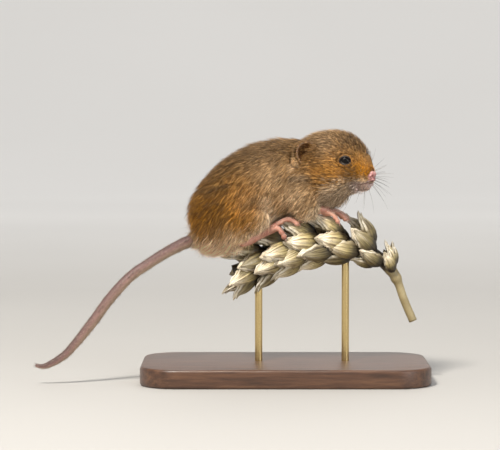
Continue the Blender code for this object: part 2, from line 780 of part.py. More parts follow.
for side, word in ((1, "left"), (-1, "right")):
    leg = combine(copy_of(whole, "leg"), [leg_cut(side, 0.0)], "INTERSECT", "MANIFOLD")
    thin(leg, HINDLEG_TRIANGLES)
    combine(leg, [foot_clearance(side)], "DIFFERENCE")
    combine(rump, [leg_cut(side, CLEARANCE), foot_clearance(side)], "DIFFERENCE")
    paint(leg, "hindleg_" + word, FUR, 0.8)
    arm = combine(copy_of(whole, "arm"), [arm_cut(side, 0.0)], "INTERSECT", "MANIFOLD")
    thin(arm, FORELEG_TRIANGLES)
    combine(arm, [paw_clearance(side)], "DIFFERENCE", "MANIFOLD")
    for body in (head, neck, torso):
        combine(body, [arm_cut(side, CLEARANCE), paw_clearance(side)], "DIFFERENCE")
    paint(arm, "foreleg_" + word, FUR, 0.8)
    paint(fuse("foot", hind_foot(side), FOOT_CELL, 2, HINDFOOT_TRIANGLES), "hindfoot_" + word, SKIN, 0.5)
    paint(fuse("paw", forepaw(side), PAW_CELL, 2, FOREPAW_TRIANGLES), "forepaw_" + word, SKIN, 0.5)
    paint(pinnas[side], "ear_" + word, EAR_SKIN, 0.7)
    paint(eyeball(side), "eye_" + word, EYE_BLACK, 0.05)

# Tail
combine(rump, [tail_piece(0.0, 0.5, 30, CLEARANCE)], "DIFFERENCE")
for i in range(TAIL_NODES):
    start = i / TAIL_NODES + TAIL_NODE_END * (i > 0)
    end = (i + 1) / TAIL_NODES - TAIL_NODE_END * (i < TAIL_NODES - 1)
    paint(tail_piece(start, end, 9), f"tail_{i + 1}", SKIN, 0.6)

paint(head, "head", FUR, 0.8)
paint(neck, "neck", FUR, 0.8)
paint(torso, "torso", FUR, 0.8)
paint(rump, "rump", FUR, 0.8)

# Perch: the wheat ear and the top of its stem, cut at both ends and cleared round the mouse
ear = union("perch_ear", [tube("rachis", stem_points(12.0, 66.0, 24), [1.7] * 24, 1)] + wheat_husks())
clear = fuse("body_clearance", [copy_of(whole, "twin")], 0.6, 0, 1500)
swell = clear.modifiers.new("Swell", "DISPLACE")
swell.strength = 1.2 * CLEARANCE * MM
swell.mid_level = 0.0
apply_modifiers(clear)
combine(ear, [clear], "DIFFERENCE", "MANIFOLD")
for side in (1, -1):
    combine(ear, [foot_clearance(side), paw_clearance(side)], "DIFFERENCE", "MANIFOLD")
stem = tube("perch_stem", stem_points(0.0, 11.4, 8), [STEM_RADIUS] * 6 + [1.3, 1.5])
for x in STAND_ROD_X:
    combine(ear, [rod(x, CLEARANCE)], "DIFFERENCE", "MANIFOLD")
paint(ear, "perch_ear", STRAW, 0.7)
paint(stem, "perch_stem", STRAW, 0.6)

base = base_slab()
for i, x in enumerate(STAND_ROD_X):
    combine(base, [rod(x, CLEARANCE)], "DIFFERENCE")
    paint(rod(x), f"stand_rod_{i + 1}", BRASS, 0.35, 1.0)
paint(base, "stand_base", DARK_WOOD, 0.45)

bpy.data.objects.remove(whole)
shapes.hide_render = True
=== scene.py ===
import math

import bmesh
import bpy
import numpy as np
from mathutils import Matrix, Vector
from mathutils.kdtree import KDTree


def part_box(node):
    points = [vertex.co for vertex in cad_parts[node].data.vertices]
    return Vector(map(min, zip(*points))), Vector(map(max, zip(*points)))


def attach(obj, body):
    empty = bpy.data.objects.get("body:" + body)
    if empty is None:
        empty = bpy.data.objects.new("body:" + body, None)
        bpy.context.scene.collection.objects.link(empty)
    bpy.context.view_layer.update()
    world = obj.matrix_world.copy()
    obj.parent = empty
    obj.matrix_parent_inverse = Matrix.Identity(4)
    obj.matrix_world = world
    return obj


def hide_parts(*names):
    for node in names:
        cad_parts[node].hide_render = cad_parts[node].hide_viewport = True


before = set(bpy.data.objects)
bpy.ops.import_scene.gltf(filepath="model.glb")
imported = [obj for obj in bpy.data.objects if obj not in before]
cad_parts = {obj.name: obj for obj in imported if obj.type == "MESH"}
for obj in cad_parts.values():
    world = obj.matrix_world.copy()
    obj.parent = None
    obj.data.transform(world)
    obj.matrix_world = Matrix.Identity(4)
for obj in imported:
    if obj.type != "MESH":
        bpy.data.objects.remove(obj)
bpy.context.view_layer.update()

# The view
# The photograph looks along +Y from a little above, about 60 cm away with a long lens.
# The camera stands on that line, aimed at the middle of what the photograph shows.
photo_middle = Vector((-0.0093, 0.0, 0.0411))
photo_width = 0.1325
camera_distance = 0.6
camera_height = math.radians(3.0)
camera_data = bpy.data.cameras.new("photo_camera")
camera_data.sensor_width = 36.0
camera_data.lens = 36.0 * camera_distance / photo_width
camera_data.clip_start = 0.01
camera_data.clip_end = 20.0


def linked_object(name, data):
    """A new object of the scene that shows this data."""
    made = bpy.data.objects.new(name, data)
    bpy.context.collection.objects.link(made)
    return made


camera = linked_object("photo_camera", camera_data)
to_camera = Vector((0.0, -math.cos(camera_height), math.sin(camera_height)))
camera.location = photo_middle + camera_distance * to_camera
camera.rotation_euler = (math.pi / 2 - camera_height, 0.0, 0.0)
bpy.context.scene.camera = camera

# The body under the coat
# One skin over head, neck, trunk and upper legs, drawn in from the solids by the depth of the coat.
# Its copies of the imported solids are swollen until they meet, fused as clay and smoothed.
MM = 0.001
head_yaw = math.radians(27.0)
head_pivot = np.array((5.3, 0.0))
eye_radius = 1.62
eye_place = (13.55, 4.25, 58.3)
skin_nodes = ["head", "neck", "torso", "rump",
              "foreleg_left", "foreleg_right", "hindleg_left", "hindleg_right"]
swelling = 0.2


def head_spot(along, out, height, side):
    """A point of the head in mm: along its axis, out to side +1 (left) or -1, and its height."""
    x = head_pivot[0] + along * math.cos(head_yaw) + side * out * math.sin(head_yaw)
    y = head_pivot[1] - along * math.sin(head_yaw) + side * out * math.cos(head_yaw)
    return Vector((x, y, height))


def head_way(forward, out, up, side):
    return (head_spot(forward, out, up, side) - head_spot(0, 0, 0, side)).normalized()


def head_coordinates(p):
    """Distance along the head's axis and out to its left, for points in mm."""
    d = p[:, :2] - head_pivot
    c, s = math.cos(head_yaw), math.sin(head_yaw)
    return d[:, 0] * c - d[:, 1] * s, d[:, 0] * s + d[:, 1] * c


def smoothstep(low, high, value):
    """Rises smoothly from 0 at low to 1 at high."""
    t = np.clip((value - low) / (high - low), 0.0, 1.0)
    return t * t * (3.0 - 2.0 * t)


def along_line(line, x):
    """The second values of a line of pairs, read at x of the first."""
    return np.interp(x, *zip(*line))


def closeness(p, spot, radius):
    """1 at a spot in mm, falling smoothly to 0 about two radii away."""
    return np.exp(-(np.linalg.norm(p - np.array(spot), axis=1) / radius) ** 2)


def band(low, full, fading, gone, value):
    """1 between full and fading, and 0 below low and above gone."""
    return smoothstep(low, full, value) * (1.0 - smoothstep(fading, gone, value))


def read_mesh(mesh):
    """Points in mm, unit normals and corner indices of a mesh of triangles."""
    mesh.calc_loop_triangles()
    points = np.empty(len(mesh.vertices) * 3)
    mesh.vertices.foreach_get("co", points)
    normals = np.empty(len(mesh.vertices) * 3)
    mesh.vertices.foreach_get("normal", normals)
    corners = np.empty(len(mesh.loop_triangles) * 3, dtype=np.int32)
    mesh.loop_triangles.foreach_get("vertices", corners)
    return points.reshape(-1, 3) / MM, normals.reshape(-1, 3), corners.reshape(-1, 3)


def set_points(obj, points):
    obj.data.vertices.foreach_set("co", (points * MM).ravel())
    obj.data.update()


def settled(obj):
    """The mesh that the object's modifiers make, which are then taken off."""
    mesh = bpy.data.meshes.new_from_object(obj.evaluated_get(bpy.context.evaluated_depsgraph_get()))
    obj.modifiers.clear()
    return mesh


def kept_mesh(name, bm):
    mesh = bpy.data.meshes.new(name)
    bm.to_mesh(mesh)
    bm.free()
    return mesh


def fused(name, lump, voxel, smoothing):
    """One closed skin, as of clay, round all that is in a bmesh; the voxel is in mm."""
    obj = linked_object(name, kept_mesh(name, lump))
    remesh = obj.modifiers.new("Clay", "REMESH")
    remesh.mode = "VOXEL"
    remesh.voxel_size = voxel * MM
    soft = obj.modifiers.new("Soft", "SMOOTH")
    soft.iterations = smoothing
    obj.data = settled(obj)
    return obj


def dress(obj, material):
    """Gives an object one material and smooth shading."""
    obj.data.materials.clear()
    obj.data.materials.append(material)
    obj.data.shade_smooth()


def swollen(node):
    """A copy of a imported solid, merged and grown along its normals."""
    bm = bmesh.new()
    bm.from_mesh(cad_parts[node].data)
    bmesh.ops.remove_doubles(bm, verts=bm.verts, dist=2e-6)
    bm.normal_update()
    for v in bm.verts:
        v.co += v.normal * swelling * MM
    return kept_mesh(node + "_swollen", bm)


def mouth_line(p):
    """1 along the closed mouth, which runs back from below the nose and down a little."""
    along, _ = head_coordinates(p)
    height = along_line(((14.4, 52.0), (16.2, 52.1), (18.1, 52.4), (19.3, 52.75), (19.7, 53.0)), along)
    return np.exp(-((p[:, 2] - height) / 0.2) ** 2) * smoothstep(15.2, 17.2, along)


def near_feet(p):
    """1 where the furred legs end in bare feet."""
    found = np.zeros(len(p))
    for side in (1, -1):
        found = np.maximum(found, closeness(p, (10.0, side * 3.8, 45.0), 1.7))
        found = np.maximum(found, closeness(p, (-7.5, side * 5.8, 38.8), 2.2))
    return found


def near_eyes(p):
    return np.maximum(*(closeness(p, head_spot(*eye_place, side), 2.3) for side in (1, -1)))


def coat_depth(p):
    """How far under the tips of the coat the skin lies, in mm."""
    along, _ = head_coordinates(p)
    depth = along_line(((-2.0, 0.95), (4.0, 0.65), (11.0, 0.5), (15.0, 0.28),
                        (17.3, -0.05), (18.6, 0.0), (19.4, 0.5)), along)
    return depth * (1.0 - 0.75 * np.minimum(1.0, near_feet(p) + near_eyes(p)))


lump = bmesh.new()
for node in skin_nodes:
    lump.from_mesh(swollen(node))
skin = fused("skin", lump, voxel=0.28, smoothing=9)
points, normals, corners = read_mesh(skin.data)
points -= normals * (coat_depth(points) + swelling + 0.34 * mouth_line(points))[:, None]
set_points(skin, points)

# Markings of skin and coat
# A brown back with dark ticks, golden flanks and muzzle, and a cream belly; the cream throat and chest are
# painted grey-beige as shade under the head.
# Each marking is a share from 0 to 1 at a point, from its place on the body alone.
top_line = ((-24.5, 45.0), (-21.1, 52.2), (-16.3, 57.0), (-9.2, 61.3), (-1.8, 62.8), (7.5, 64.6),
            (14.9, 65.2), (19.8, 63.0), (23.1, 58.5), (24.5, 54.6))
under_line = ((-24.5, 40.0), (-20.5, 34.2), (-16.7, 33.4), (-12.0, 35.2), (-8.0, 39.0), (-4.0, 42.6),
              (4.0, 43.6), (10.0, 44.8), (14.0, 46.0), (17.0, 48.0), (20.0, 50.5), (23.5, 52.4))
pale_share = ((-24.0, 0.15), (-20.0, 0.27), (-13.0, 0.24), (-10.0, 0.12), (-6.5, 0.08), (-4.5, 0.28),
              (0.0, 0.1), (6.0, 0.08), (11.0, 0.3), (15.0, 0.34), (19.0, 0.26), (24.0, 0.14))
pale_patches = ((0.95, -4.0, 45.8, 2.6), (0.72, -4.2, 49.0, 2.4), (0.22, -9.0, 48.6, 4.0),
                (0.42, -15.5, 38.2, 4.5), (0.16, 10.5, 62.6, 4.0), (0.5, 2.8, 49.8, 5.0),
                (0.5, 2.6, 57.0, 1.3), (0.34, -2.5, 54.0, 5.5))
# A painted shadow under the cheek's ruff, along the jaw.
jaw_shadow_line = ((2.3, 54.6), (9.0, 53.6), (16.0, 52.9))
# Short lines where the coat parts, painted dark as the shade in the gap.
partings = (((-19.8, 50.6), (-13.6, 52.6)), ((-17.6, 41.6), (-15.8, 44.6)), ((-10.5, 47.5), (-7.0, 50.0)))


def near_line(p, line, radius):
    """1 on a line drawn in x and z, falling smoothly to 0 about two radii away, seen from either side."""
    found = np.zeros(len(p))
    for one, two in zip(line, line[1:]):
        one, two = np.array(one), np.array(two)
        share = np.clip(((p[:, (0, 2)] - one) @ (two - one)) / ((two - one) @ (two - one)), 0.0, 1.0)
        gap = np.linalg.norm(p[:, (0, 2)] - one - share[:, None] * (two - one), axis=1)
        found = np.maximum(found, np.exp(-(gap / radius) ** 2))
    return found


def patch_at(p, x, z, radius):
    return np.exp(-((p[:, 0] - x) ** 2 + (p[:, 2] - z) ** 2) / radius ** 2)


def before_ears(p):
    """Share of the hair that lies over the hollow of an ear, painted dark as the hollow's shade."""
    spots = [head_spot(5.6, 5.4, 60.4, side) for side in (1, -1)]
    return smoothstep(0.05, 0.6, np.maximum(*(closeness(p, spot, 2.5) for spot in spots)))


def markings(p, rough):
    """Shares of (pale, warm, dark) and (grey, bare, mouth) at points in mm, with a random edge; grey is
    painted shade on the pale throat.
    """
    along, _ = head_coordinates(p)
    x = p[:, 0]
    low, high = along_line(under_line, x), along_line(top_line, x)
    level = (p[:, 2] - low) / (high - low) + 0.05 * rough
    edge = along_line(pale_share, x)
    pale = 1.0 - smoothstep(edge - 0.09, edge + 0.1, level)
    for share, *spot in pale_patches:
        pale = np.maximum(pale, share * patch_at(p, *spot))
    muzzle = smoothstep(12.5, 17.5, along) * band(0.26, 0.38, 0.48, 0.72, level)
    cheek = smoothstep(4.0, 7.0, along) * band(0.25, 0.4, 0.55, 0.85, level)
    haunch = patch_at(p, -18.5, 45.0, 6.5) * (1 - smoothstep(0.85, 1.0, level))
    over_ears = before_ears(p)
    warm = np.maximum.reduce((muzzle, 0.55 * cheek, 0.95 * patch_at(p, -11.5, 47.0, 6.5), 0.95 * haunch,
                              0.45 * over_ears))
    back = 0.85 - 0.35 * smoothstep(0.0, 6.0, along) + 0.4 * smoothstep(10.5, 14.0, along)
    speckled = smoothstep(0.3, 1.0, rough) * patch_at(p, -16.5, 44.5, 5.0)
    # Dark also holds painted shade: a shadow line along the jaw.
    dark = np.maximum.reduce((
        smoothstep(0.68, 0.98, level) * back, 0.95 * patch_at(p, -18.6, 46.6, 4.2), 0.6 * speckled,
        0.8 * near_line(p, jaw_shadow_line, 0.75), *(0.9 * near_line(p, parting, 0.42) for parting in partings),
        # Painted shade of the ear's hollow on the hair over it.
        0.62 * over_ears))
    # Grey: painted shade of the head on the pale throat and chest.
    grey = pale * smoothstep(5.0, 11.0, x) * (1.0 - smoothstep(16.0, 18.5, along))
    nose = closeness(p, head_spot(20.2, 0.0, 54.3, 1), 1.65)
    lips = smoothstep(14.0, 16.0, along) * (1.0 - smoothstep(52.5, 53.4, p[:, 2]))
    bare = np.maximum(smoothstep(0.25, 0.6, nose), 0.8 * lips)
    return np.stack((pale, np.clip(warm, 0, 1), dark), axis=1), np.stack((grey, bare, mouth_line(p)), axis=1)


def write_attribute(mesh, name, kind, values):
    attribute = mesh.attributes.new(name, kind, "POINT")
    field = "vector" if kind == "FLOAT_VECTOR" else "value"
    attribute.data.foreach_set(field, np.ascontiguousarray(values, dtype=np.float32).ravel())


def feed(tree, socket, value):
    """Gives a socket a link or a plain value; a colour is three numbers."""
    if isinstance(value, bpy.types.NodeSocket):
        tree.links.new(value, socket)
    elif socket.type == "RGBA" and len(value) == 3:
        socket.default_value = (*value, 1.0)
    else:
        socket.default_value = value


def add_node(tree, kind, inputs=(), **settings):
    made = tree.nodes.new(kind)
    for key, value in settings.items():
        setattr(made, key, value)
    for key, value in dict(inputs).items():
        feed(tree, made.inputs[key], value)
    return made


class Shader:
    """A material's node tree, built up one named step at a time."""

    def __init__(self, name):
        self.material = bpy.data.materials.new(name)
        self.material.use_nodes = True
        self.tree = self.material.node_tree
        self.surface = self.tree.nodes["Principled BSDF"]

    def node(self, kind, inputs=(), **settings):
        return add_node(self.tree, kind, inputs, **settings)

    def place(self):
        return self.node("ShaderNodeTexCoord").outputs["Object"]

    def attribute(self, name, reading="Fac"):
        return self.node("ShaderNodeAttribute", attribute_name=name).outputs[reading]

    def parts(self, vector):
        return self.node("ShaderNodeSeparateXYZ", {"Vector": vector}).outputs

    def math(self, operation, a, b=0.0):
        return self.node("ShaderNodeMath", {0: a, 1: b}, operation=operation).outputs[0]

    def mix(self, share, a, b, blend="MIX"):
        made = self.node("ShaderNodeMix", {0: share, 6: a, 7: b}, data_type="RGBA", blend_type=blend)
        return made.outputs[2]

    def tint(self, colour, by, share=1.0):
        return self.mix(share, colour, by, "MULTIPLY")

    def ramp(self, share, *stops):
        """A run of colours, each (place, colour) or (place, grey)."""
        made = self.node("ShaderNodeValToRGB", {"Fac": share})
        ramp = made.color_ramp
        while len(ramp.elements) < len(stops):
            ramp.elements.new(0.5)
        for element, (place, colour) in zip(ramp.elements, stops):
            element.position = place
            element.color = (*colour, 1.0) if isinstance(colour, tuple) else (colour, colour, colour, 1.0)
        return made.outputs["Color"]

    def noise(self, scale, detail=3.0, roughness=0.5, vector=None):
        return self.node("ShaderNodeTexNoise", {"Vector": vector or self.place(), "Scale": scale,
                                                "Detail": detail, "Roughness": roughness}).outputs[0]

    def bump(self, height, strength, distance):
        made = self.node("ShaderNodeBump", {"Height": height, "Strength": strength, "Distance": distance})
        self.set(Normal=made.outputs["Normal"])

    def set(self, **values):
        for key, value in values.items():
            feed(self.tree, self.surface.inputs[key.replace("_", " ")], value)
        return self.material


back_brown = (0.125, 0.072, 0.034)
flank_tan = (0.42, 0.235, 0.085)
golden_orange = (0.52, 0.22, 0.013)
belly_cream = (0.8, 0.62, 0.43)
# Painted shade on the cream throat.
throat_shadow_tone = (0.42, 0.31, 0.21)
bare_pink = (0.62, 0.34, 0.29)


def marked_colour(shader):
    """The coat's ground colour at a point, from the markings that mesh carries."""
    pale, warm, dark = shader.parts(shader.attribute("marks", "Vector"))
    grey, bare, mouth = shader.parts(shader.attribute("tones", "Vector"))
    colour = shader.mix(dark, flank_tan, back_brown)
    colour = shader.mix(warm, colour, golden_orange)
    colour = shader.mix(pale, colour, belly_cream)
    return shader.mix(grey, colour, throat_shadow_tone), bare, mouth


undercoat = Shader("undercoat")
ground, bare_share, mouth_shade_share = marked_colour(undercoat)
# The skin is darker than the hair: partly the real grey underfur, partly painted shade in the gaps of the
# coat.
shaded = undercoat.tint(ground, (0.5, 0.46, 0.44))
mottle = undercoat.ramp(undercoat.noise(900.0), (0.3, 0.75), (0.7, 1.15))
shaded = undercoat.mix(bare_share, undercoat.tint(shaded, mottle), bare_pink)
# Painted shade in the crease of the mouth.
shaded = undercoat.mix(mouth_shade_share, shaded, (0.1, 0.028, 0.022))
undercoat.bump(undercoat.noise(2600.0, 4.0), 0.4, 0.0001)
dress(skin, undercoat.set(Base_Color=shaded, Roughness=0.72, Subsurface_Weight=0.1, Subsurface_Scale=0.0006))

draw = np.random.default_rng(11)
marks, tones = markings(points, draw.normal(0, 0.3, len(points)))
write_attribute(skin.data, "marks", "FLOAT_VECTOR", marks)
write_attribute(skin.data, "tones", "FLOAT_VECTOR", tones)
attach(skin, "root")
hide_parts(*skin_nodes)

# The coat
# Short dense fur that lies back from the nose and down the flanks, in tufts of a few hairs each.
# Every tuft is a thin closed blade with its root in the skin, drawn to its neighbours at the tip.
spine = np.array(((23.0, -9.0, 54.4), (19.0, -7.0, 55.6), (14.0, -4.4, 57.0), (9.0, -1.9, 57.0),
                  (4.0, -0.5, 55.4), (-2.0, 0.0, 53.6), (-8.0, 0.0, 51.0), (-14.0, 0.0, 46.8),
                  (-18.5, 0.0, 42.6), (-24.5, 0.0, 38.0)))
spine_steps = 160


def smooth_spine():
    """Points along the spine from nose to tail, and the way on at each."""
    runs = np.concatenate(([0.0], np.cumsum(np.linalg.norm(np.diff(spine, axis=0), axis=1))))
    places = np.linspace(0.0, runs[-1], spine_steps)
    line = np.stack([np.interp(places, runs, spine[:, k]) for k in range(3)], axis=1)
    for _ in range(12):
        line[1:-1] = (line[:-2] + line[1:-1] * 2 + line[2:]) / 4
    way = np.gradient(line, axis=0)
    return line, way / np.linalg.norm(way, axis=1)[:, None]


spine_line, spine_way = smooth_spine()


def nearest(places, p):
    """The index of the nearest place to each point."""
    tree = KDTree(len(places))
    for i, place in enumerate(places):
        tree.insert(place, i)
    tree.balance()
    return np.array([tree.find(q)[1] for q in p])


def along_spine(p):
    """Share of the spine's length at each point, the angle round it from the belly, and its way on."""
    beside = nearest(spine_line, p)
    offset = p - spine_line[beside]
    way = spine_way[beside]
    left = np.cross(np.array((0.0, 0.0, 1.0)), -way)
    left /= np.linalg.norm(left, axis=1)[:, None]
    up = np.cross(-way, left)
    round_it = np.arctan2((offset * left).sum(1), -(offset * up).sum(1))
    return beside / (spine_steps - 1), round_it / (2 * math.pi) + 0.5, way


blade_points = 5
blade_faces = 6


def unit(v):
    return v / (np.linalg.norm(v, axis=1)[:, None] + 1e-12)


def flatten(v, normals):
    return v - normals * (v * normals).sum(1)[:, None]


def rooted(points, normals, corners, share, count, draw):
    """count random places on the triangles, as often as each share asks for."""
    a, b, c = (points[corners[:, k]] for k in range(3))
    area = np.linalg.norm(np.cross(b - a, c - a), axis=1) / 2
    odds = area * share
    pick = draw.choice(len(corners), count, p=odds / odds.sum())
    u, v = draw.random((2, count))
    flip = u + v > 1
    u[flip], v[flip] = 1 - u[flip], 1 - v[flip]
    weights = np.stack((1 - u - v, u, v), axis=1)[:, :, None]
    place = (points[corners[pick]] * weights).sum(1)
    return place, unit((normals[corners[pick]] * weights).sum(1))


def blades(root, normal, way, length, rise, width, tip_pull=0.0):
    """Closed blades, thin at both ends: 5 points and 6 triangles for each root, all in mm."""
    side = unit(np.cross(normal, way))
    tip = root + way * length[:, None] + normal * rise[:, None] + tip_pull
    knee = root + way * (0.42 * length)[:, None] + normal * (0.72 * rise)[:, None] + tip_pull * 0.3
    base = root - normal * 0.12
    half = (width / 2)[:, None]
    verts = np.stack((base, knee - side * half, knee + normal * half * 0.9, knee + side * half, tip), axis=1)
    faces = np.array(((0, 1, 2), (0, 2, 3), (0, 3, 1), (4, 2, 1), (4, 3, 2), (4, 1, 3)))
    every = faces[None] + blade_points * np.arange(len(root))[:, None, None]
    return verts.reshape(-1, 3), every.reshape(-1, 3)


def mesh_of_triangles(name, verts, faces):
    mesh = bpy.data.meshes.new(name)
    mesh.vertices.add(len(verts))
    mesh.vertices.foreach_set("co", np.ascontiguousarray(verts * MM, dtype=np.float32).ravel())
    mesh.loops.add(len(faces) * 3)
    mesh.loops.foreach_set("vertex_index", faces.astype(np.int32).ravel())
    mesh.polygons.add(len(faces))
    mesh.polygons.foreach_set("loop_start", np.arange(0, len(faces) * 3, 3, dtype=np.int32))
    mesh.update(calc_edges=True)
    return mesh


fur = Shader("coat_hair")
ground, bare_share, _ = marked_colour(fur)
ground = fur.mix(bare_share, ground, (0.6, 0.47, 0.44))
on_hair, lot, _ = fur.parts(fur.attribute("hair", "Vector"))
from_root = fur.ramp(on_hair, (0.0, (0.3, 0.26, 0.23)), (0.45, (0.85, 0.83, 0.8)), (1.0, (1.5, 1.47, 1.4)))
# Random tone of each clump; the bluish-white top end is a painted glint on the brightest hairs.
lot_tone_and_glint = fur.ramp(lot, (0.12, (0.36, 0.33, 0.3)), (0.4, (0.85, 0.84, 0.82)), (0.68, (1.3, 1.3, 1.27)),
                  (0.88, (2.0, 2.1, 2.2)))
tick_brown = (0.06, 0.038, 0.024)
hair_colour = fur.mix(fur.attribute("tick"), fur.tint(fur.tint(ground, from_root), lot_tone_and_glint), tick_brown)
fur_material = fur.set(Base_Color=hair_colour, Roughness=0.5, Specular_IOR_Level=0.2)

def swirl(p, size, seed):
    """Smooth random values about 0 that change over this size in mm."""
    waves = np.random.default_rng(seed).normal(0.0, 1.0 / size, (9, 3))
    starts = np.random.default_rng(seed + 1).uniform(0.0, 2 * math.pi, 9)
    return np.sin(p @ waves.T + starts).sum(1) / 3.0


downward = ((0.0, 0.0), (0.3, 0.15), (0.42, 0.8), (0.6, 0.55), (0.8, 0.8), (1.0, 0.6))


def lie_of_coat(p, normal):
    """The way the hair lies at points of the skin: tailward, down the flanks, and away from the nose."""
    on_spine, _, flow = along_spine(p)
    along, _ = head_coordinates(p)
    flow[:, 2] -= along_line(downward, on_spine)
    from_nose = unit(p - np.array(head_spot(19.8, 0.0, 54.6, 1)))
    flow += from_nose * (2.2 * smoothstep(9.0, 16.0, along))[:, None]
    flow[:, 2] += 0.28 * swirl(p, 2.6, 40)
    return unit(flatten(flow, normal))


def hair_set(root, normal, way, length, rise, width, markings_there, lot, ticked, tip_pull=0.0):
    """Blades on these roots, with all that the shader reads."""
    verts, faces = blades(root, normal, way, length, rise, width, tip_pull)
    marks, tones = markings_there
    on_spine, round_spine, _ = along_spine(root)
    return {"verts": verts, "faces": faces, "marks": marks, "tones": tones, "lot": lot, "ticked": ticked,
            "on_spine": on_spine, "round_spine": round_spine}


hair_lengths = ((-24.0, 3.3), (-12.0, 3.0), (-2.0, 2.7), (4.0, 2.2), (9.0, 1.75), (13.0, 1.25), (16.5, 0.8),
                (19.5, 0.45))
hairs_wanted = ((-4.0, 1.0), (3.0, 1.3), (9.0, 1.9), (14.0, 2.8), (18.0, 3.6))
hair_widths = ((-4.0, 0.113), (4.0, 0.1), (12.0, 0.085), (18.0, 0.066))


def grow_coat(count, guard, draw):
    """Blades of soft coat, or of the longer and finer guard hairs."""
    points, normals, corners = read_mesh(skin.data)
    middle = points[corners].mean(1)
    along, _ = head_coordinates(middle)
    share = along_line(hairs_wanted, along) * (1.0 - smoothstep(0.35, 0.7, near_feet(middle)))
    for side in (1, -1):
        share *= 1.0 - 0.999 * (np.linalg.norm(middle - np.array(head_spot(*eye_place, side)), axis=1) < 1.7)
    nose_gap = np.linalg.norm(middle - np.array(head_spot(20.0, 0.3, 54.4, -1)), axis=1)
    marks, tones = markings(middle, 0.0)
    share *= smoothstep(1.3, 1.9, nose_gap) * (1.0 - 0.4 * tones[:, 1]) * (1.0 - 0.8 * tones[:, 2])
    share *= 1.0 - 0.45 * before_ears(middle)
    if guard:
        share *= (1.0 - smoothstep(15.0, 18.5, along)) * (0.5 + marks[:, 2])
    root, normal = rooted(points, normals, corners, share, count, draw)
    flow = lie_of_coat(root, normal)
    along, _ = head_coordinates(root)
    swing = draw.normal(0.0, 0.2 if guard else 0.13, count)
    way = flow * np.cos(swing)[:, None] + np.cross(normal, flow) * np.sin(swing)[:, None]
    calm = np.minimum(1.0, near_feet(root) + near_eyes(root))
    over_ears = before_ears(root)
    marks, tones = markings(root, draw.normal(0.0, 1.0, count))
    length = along_line(hair_lengths, along) * (1.0 - 0.62 * calm) * (1.0 - 0.4 * tones[:, 1])
    length *= draw.uniform(0.75, 1.2, count) * (1.0 - 0.42 * over_ears)
    depth = np.maximum(coat_depth(root), 0.1)
    dark = marks[:, 2]
    if guard:
        length *= 1.3
        rise = depth * draw.uniform(0.8, 1.15, count)
        rise += (1.0 - calm) * draw.random(count) ** 0.8 * (1.2 + 0.5 * dark)
        width = draw.uniform(0.07, 0.11, count) + 0.035 * dark
        clump = 500
    else:
        rise = (depth + 0.03) * draw.uniform(0.55, 1.2, count)
        width = along_line(hair_widths, along) * draw.uniform(0.75, 1.2, count)
        clump = 6
    knots = root[::clump]
    knot_of = nearest(knots, root)
    pull = flatten(knots[knot_of] - root, normal) * draw.uniform(0.3, 0.8, count)[:, None] * (not guard)
    lot = np.clip(0.55 * draw.random(len(knots))[knot_of] + 0.45 * draw.random(count), 0.0, 1.0)
    if guard:
        # Guard hairs lean to the bright end, and so carry more of the painted glint.
        lot = draw.random(count) ** 0.6
    # More dark ticked hairs in the partings, as their painted shade.
    parted = np.max([near_line(root, parting, 0.45) for parting in partings], axis=0)
    odds = 0.45 + 0.25 * dark if guard else 0.05 + 0.2 * dark
    # More dark ticks over the ears, as painted shade of their hollows.
    odds = odds + 0.8 * parted + 0.3 * patch_at(root, -18.2, 46.6, 3.6) + 0.3 * over_ears
    odds += 0.1 * smoothstep(3.0, 6.0, along) + 0.2 * smoothstep(12.0, 15.0, along)
    odds += 0.45 * patch_at(root, 17.5, 54.5, 1.7)
    ticked = (draw.random(count) < odds) * (1.0 - marks[:, 0]) * draw.uniform(0.5, 0.95, count)
    return hair_set(root, normal, way, length, rise, width, (marks, tones), lot, ticked, pull)


on_blade = (0.0, 0.42, 0.42, 0.42, 1.0)
patch_width = 0.003
patch = np.array(((0.5, 0.0), (0.0, 0.5), (0.5, 0.5), (1.0, 0.5), (0.5, 1.0))) * patch_width


def bake_patches(mesh, faces, spots):
    """Gives each blade a bake patch of its own at its root's spot on the unwrapped skin."""
    unwrap = (spots[:, None] + patch[None]).reshape(-1, 2)
    layer = mesh.uv_layers.new(name="OFBake")
    layer.uv.foreach_set("vector", unwrap[faces.ravel()].astype(np.float32).ravel())


def coat_piece(name, hair, chosen=None):
    """One piece of coat, from all the blades of a set or from the chosen ones."""
    chosen = np.arange(len(hair["lot"])) if chosen is None else chosen
    own = (chosen[:, None] * blade_points + np.arange(blade_points)).ravel()
    own_faces = hair["faces"][: len(chosen) * blade_faces]
    mesh = mesh_of_triangles(name, hair["verts"][own], own_faces)
    on_hair = np.tile(on_blade, len(chosen))
    for key in ("marks", "tones"):
        write_attribute(mesh, key, "FLOAT_VECTOR", np.repeat(hair[key][chosen], blade_points, axis=0))
    lots = np.repeat(hair["lot"][chosen], blade_points)
    write_attribute(mesh, "hair", "FLOAT_VECTOR", np.column_stack((on_hair, lots, np.zeros(len(own)))))
    ticked = np.repeat(hair["ticked"][chosen], blade_points) * np.clip(on_hair * 2, 0.3, 1.0)
    write_attribute(mesh, "tick", "FLOAT", ticked)
    spots = np.stack((hair["on_spine"][chosen], hair["round_spine"][chosen]), axis=1)
    bake_patches(mesh, own_faces, spots * 0.99)
    coat = linked_object(name, mesh)
    dress(coat, fur_material)
    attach(coat, "root")


def coat_pair(name, hair, first=0.0, last=1.1):
    """The left and the right piece of a set of hair, between two shares of the spine's length."""
    on_place = (hair["on_spine"] >= first) & (hair["on_spine"] < last)
    for word, on_side in (("left", hair["round_spine"] > 0.5), ("right", hair["round_spine"] <= 0.5)):
        coat_piece(f"{name}_{word}", hair, np.flatnonzero(on_place & on_side))


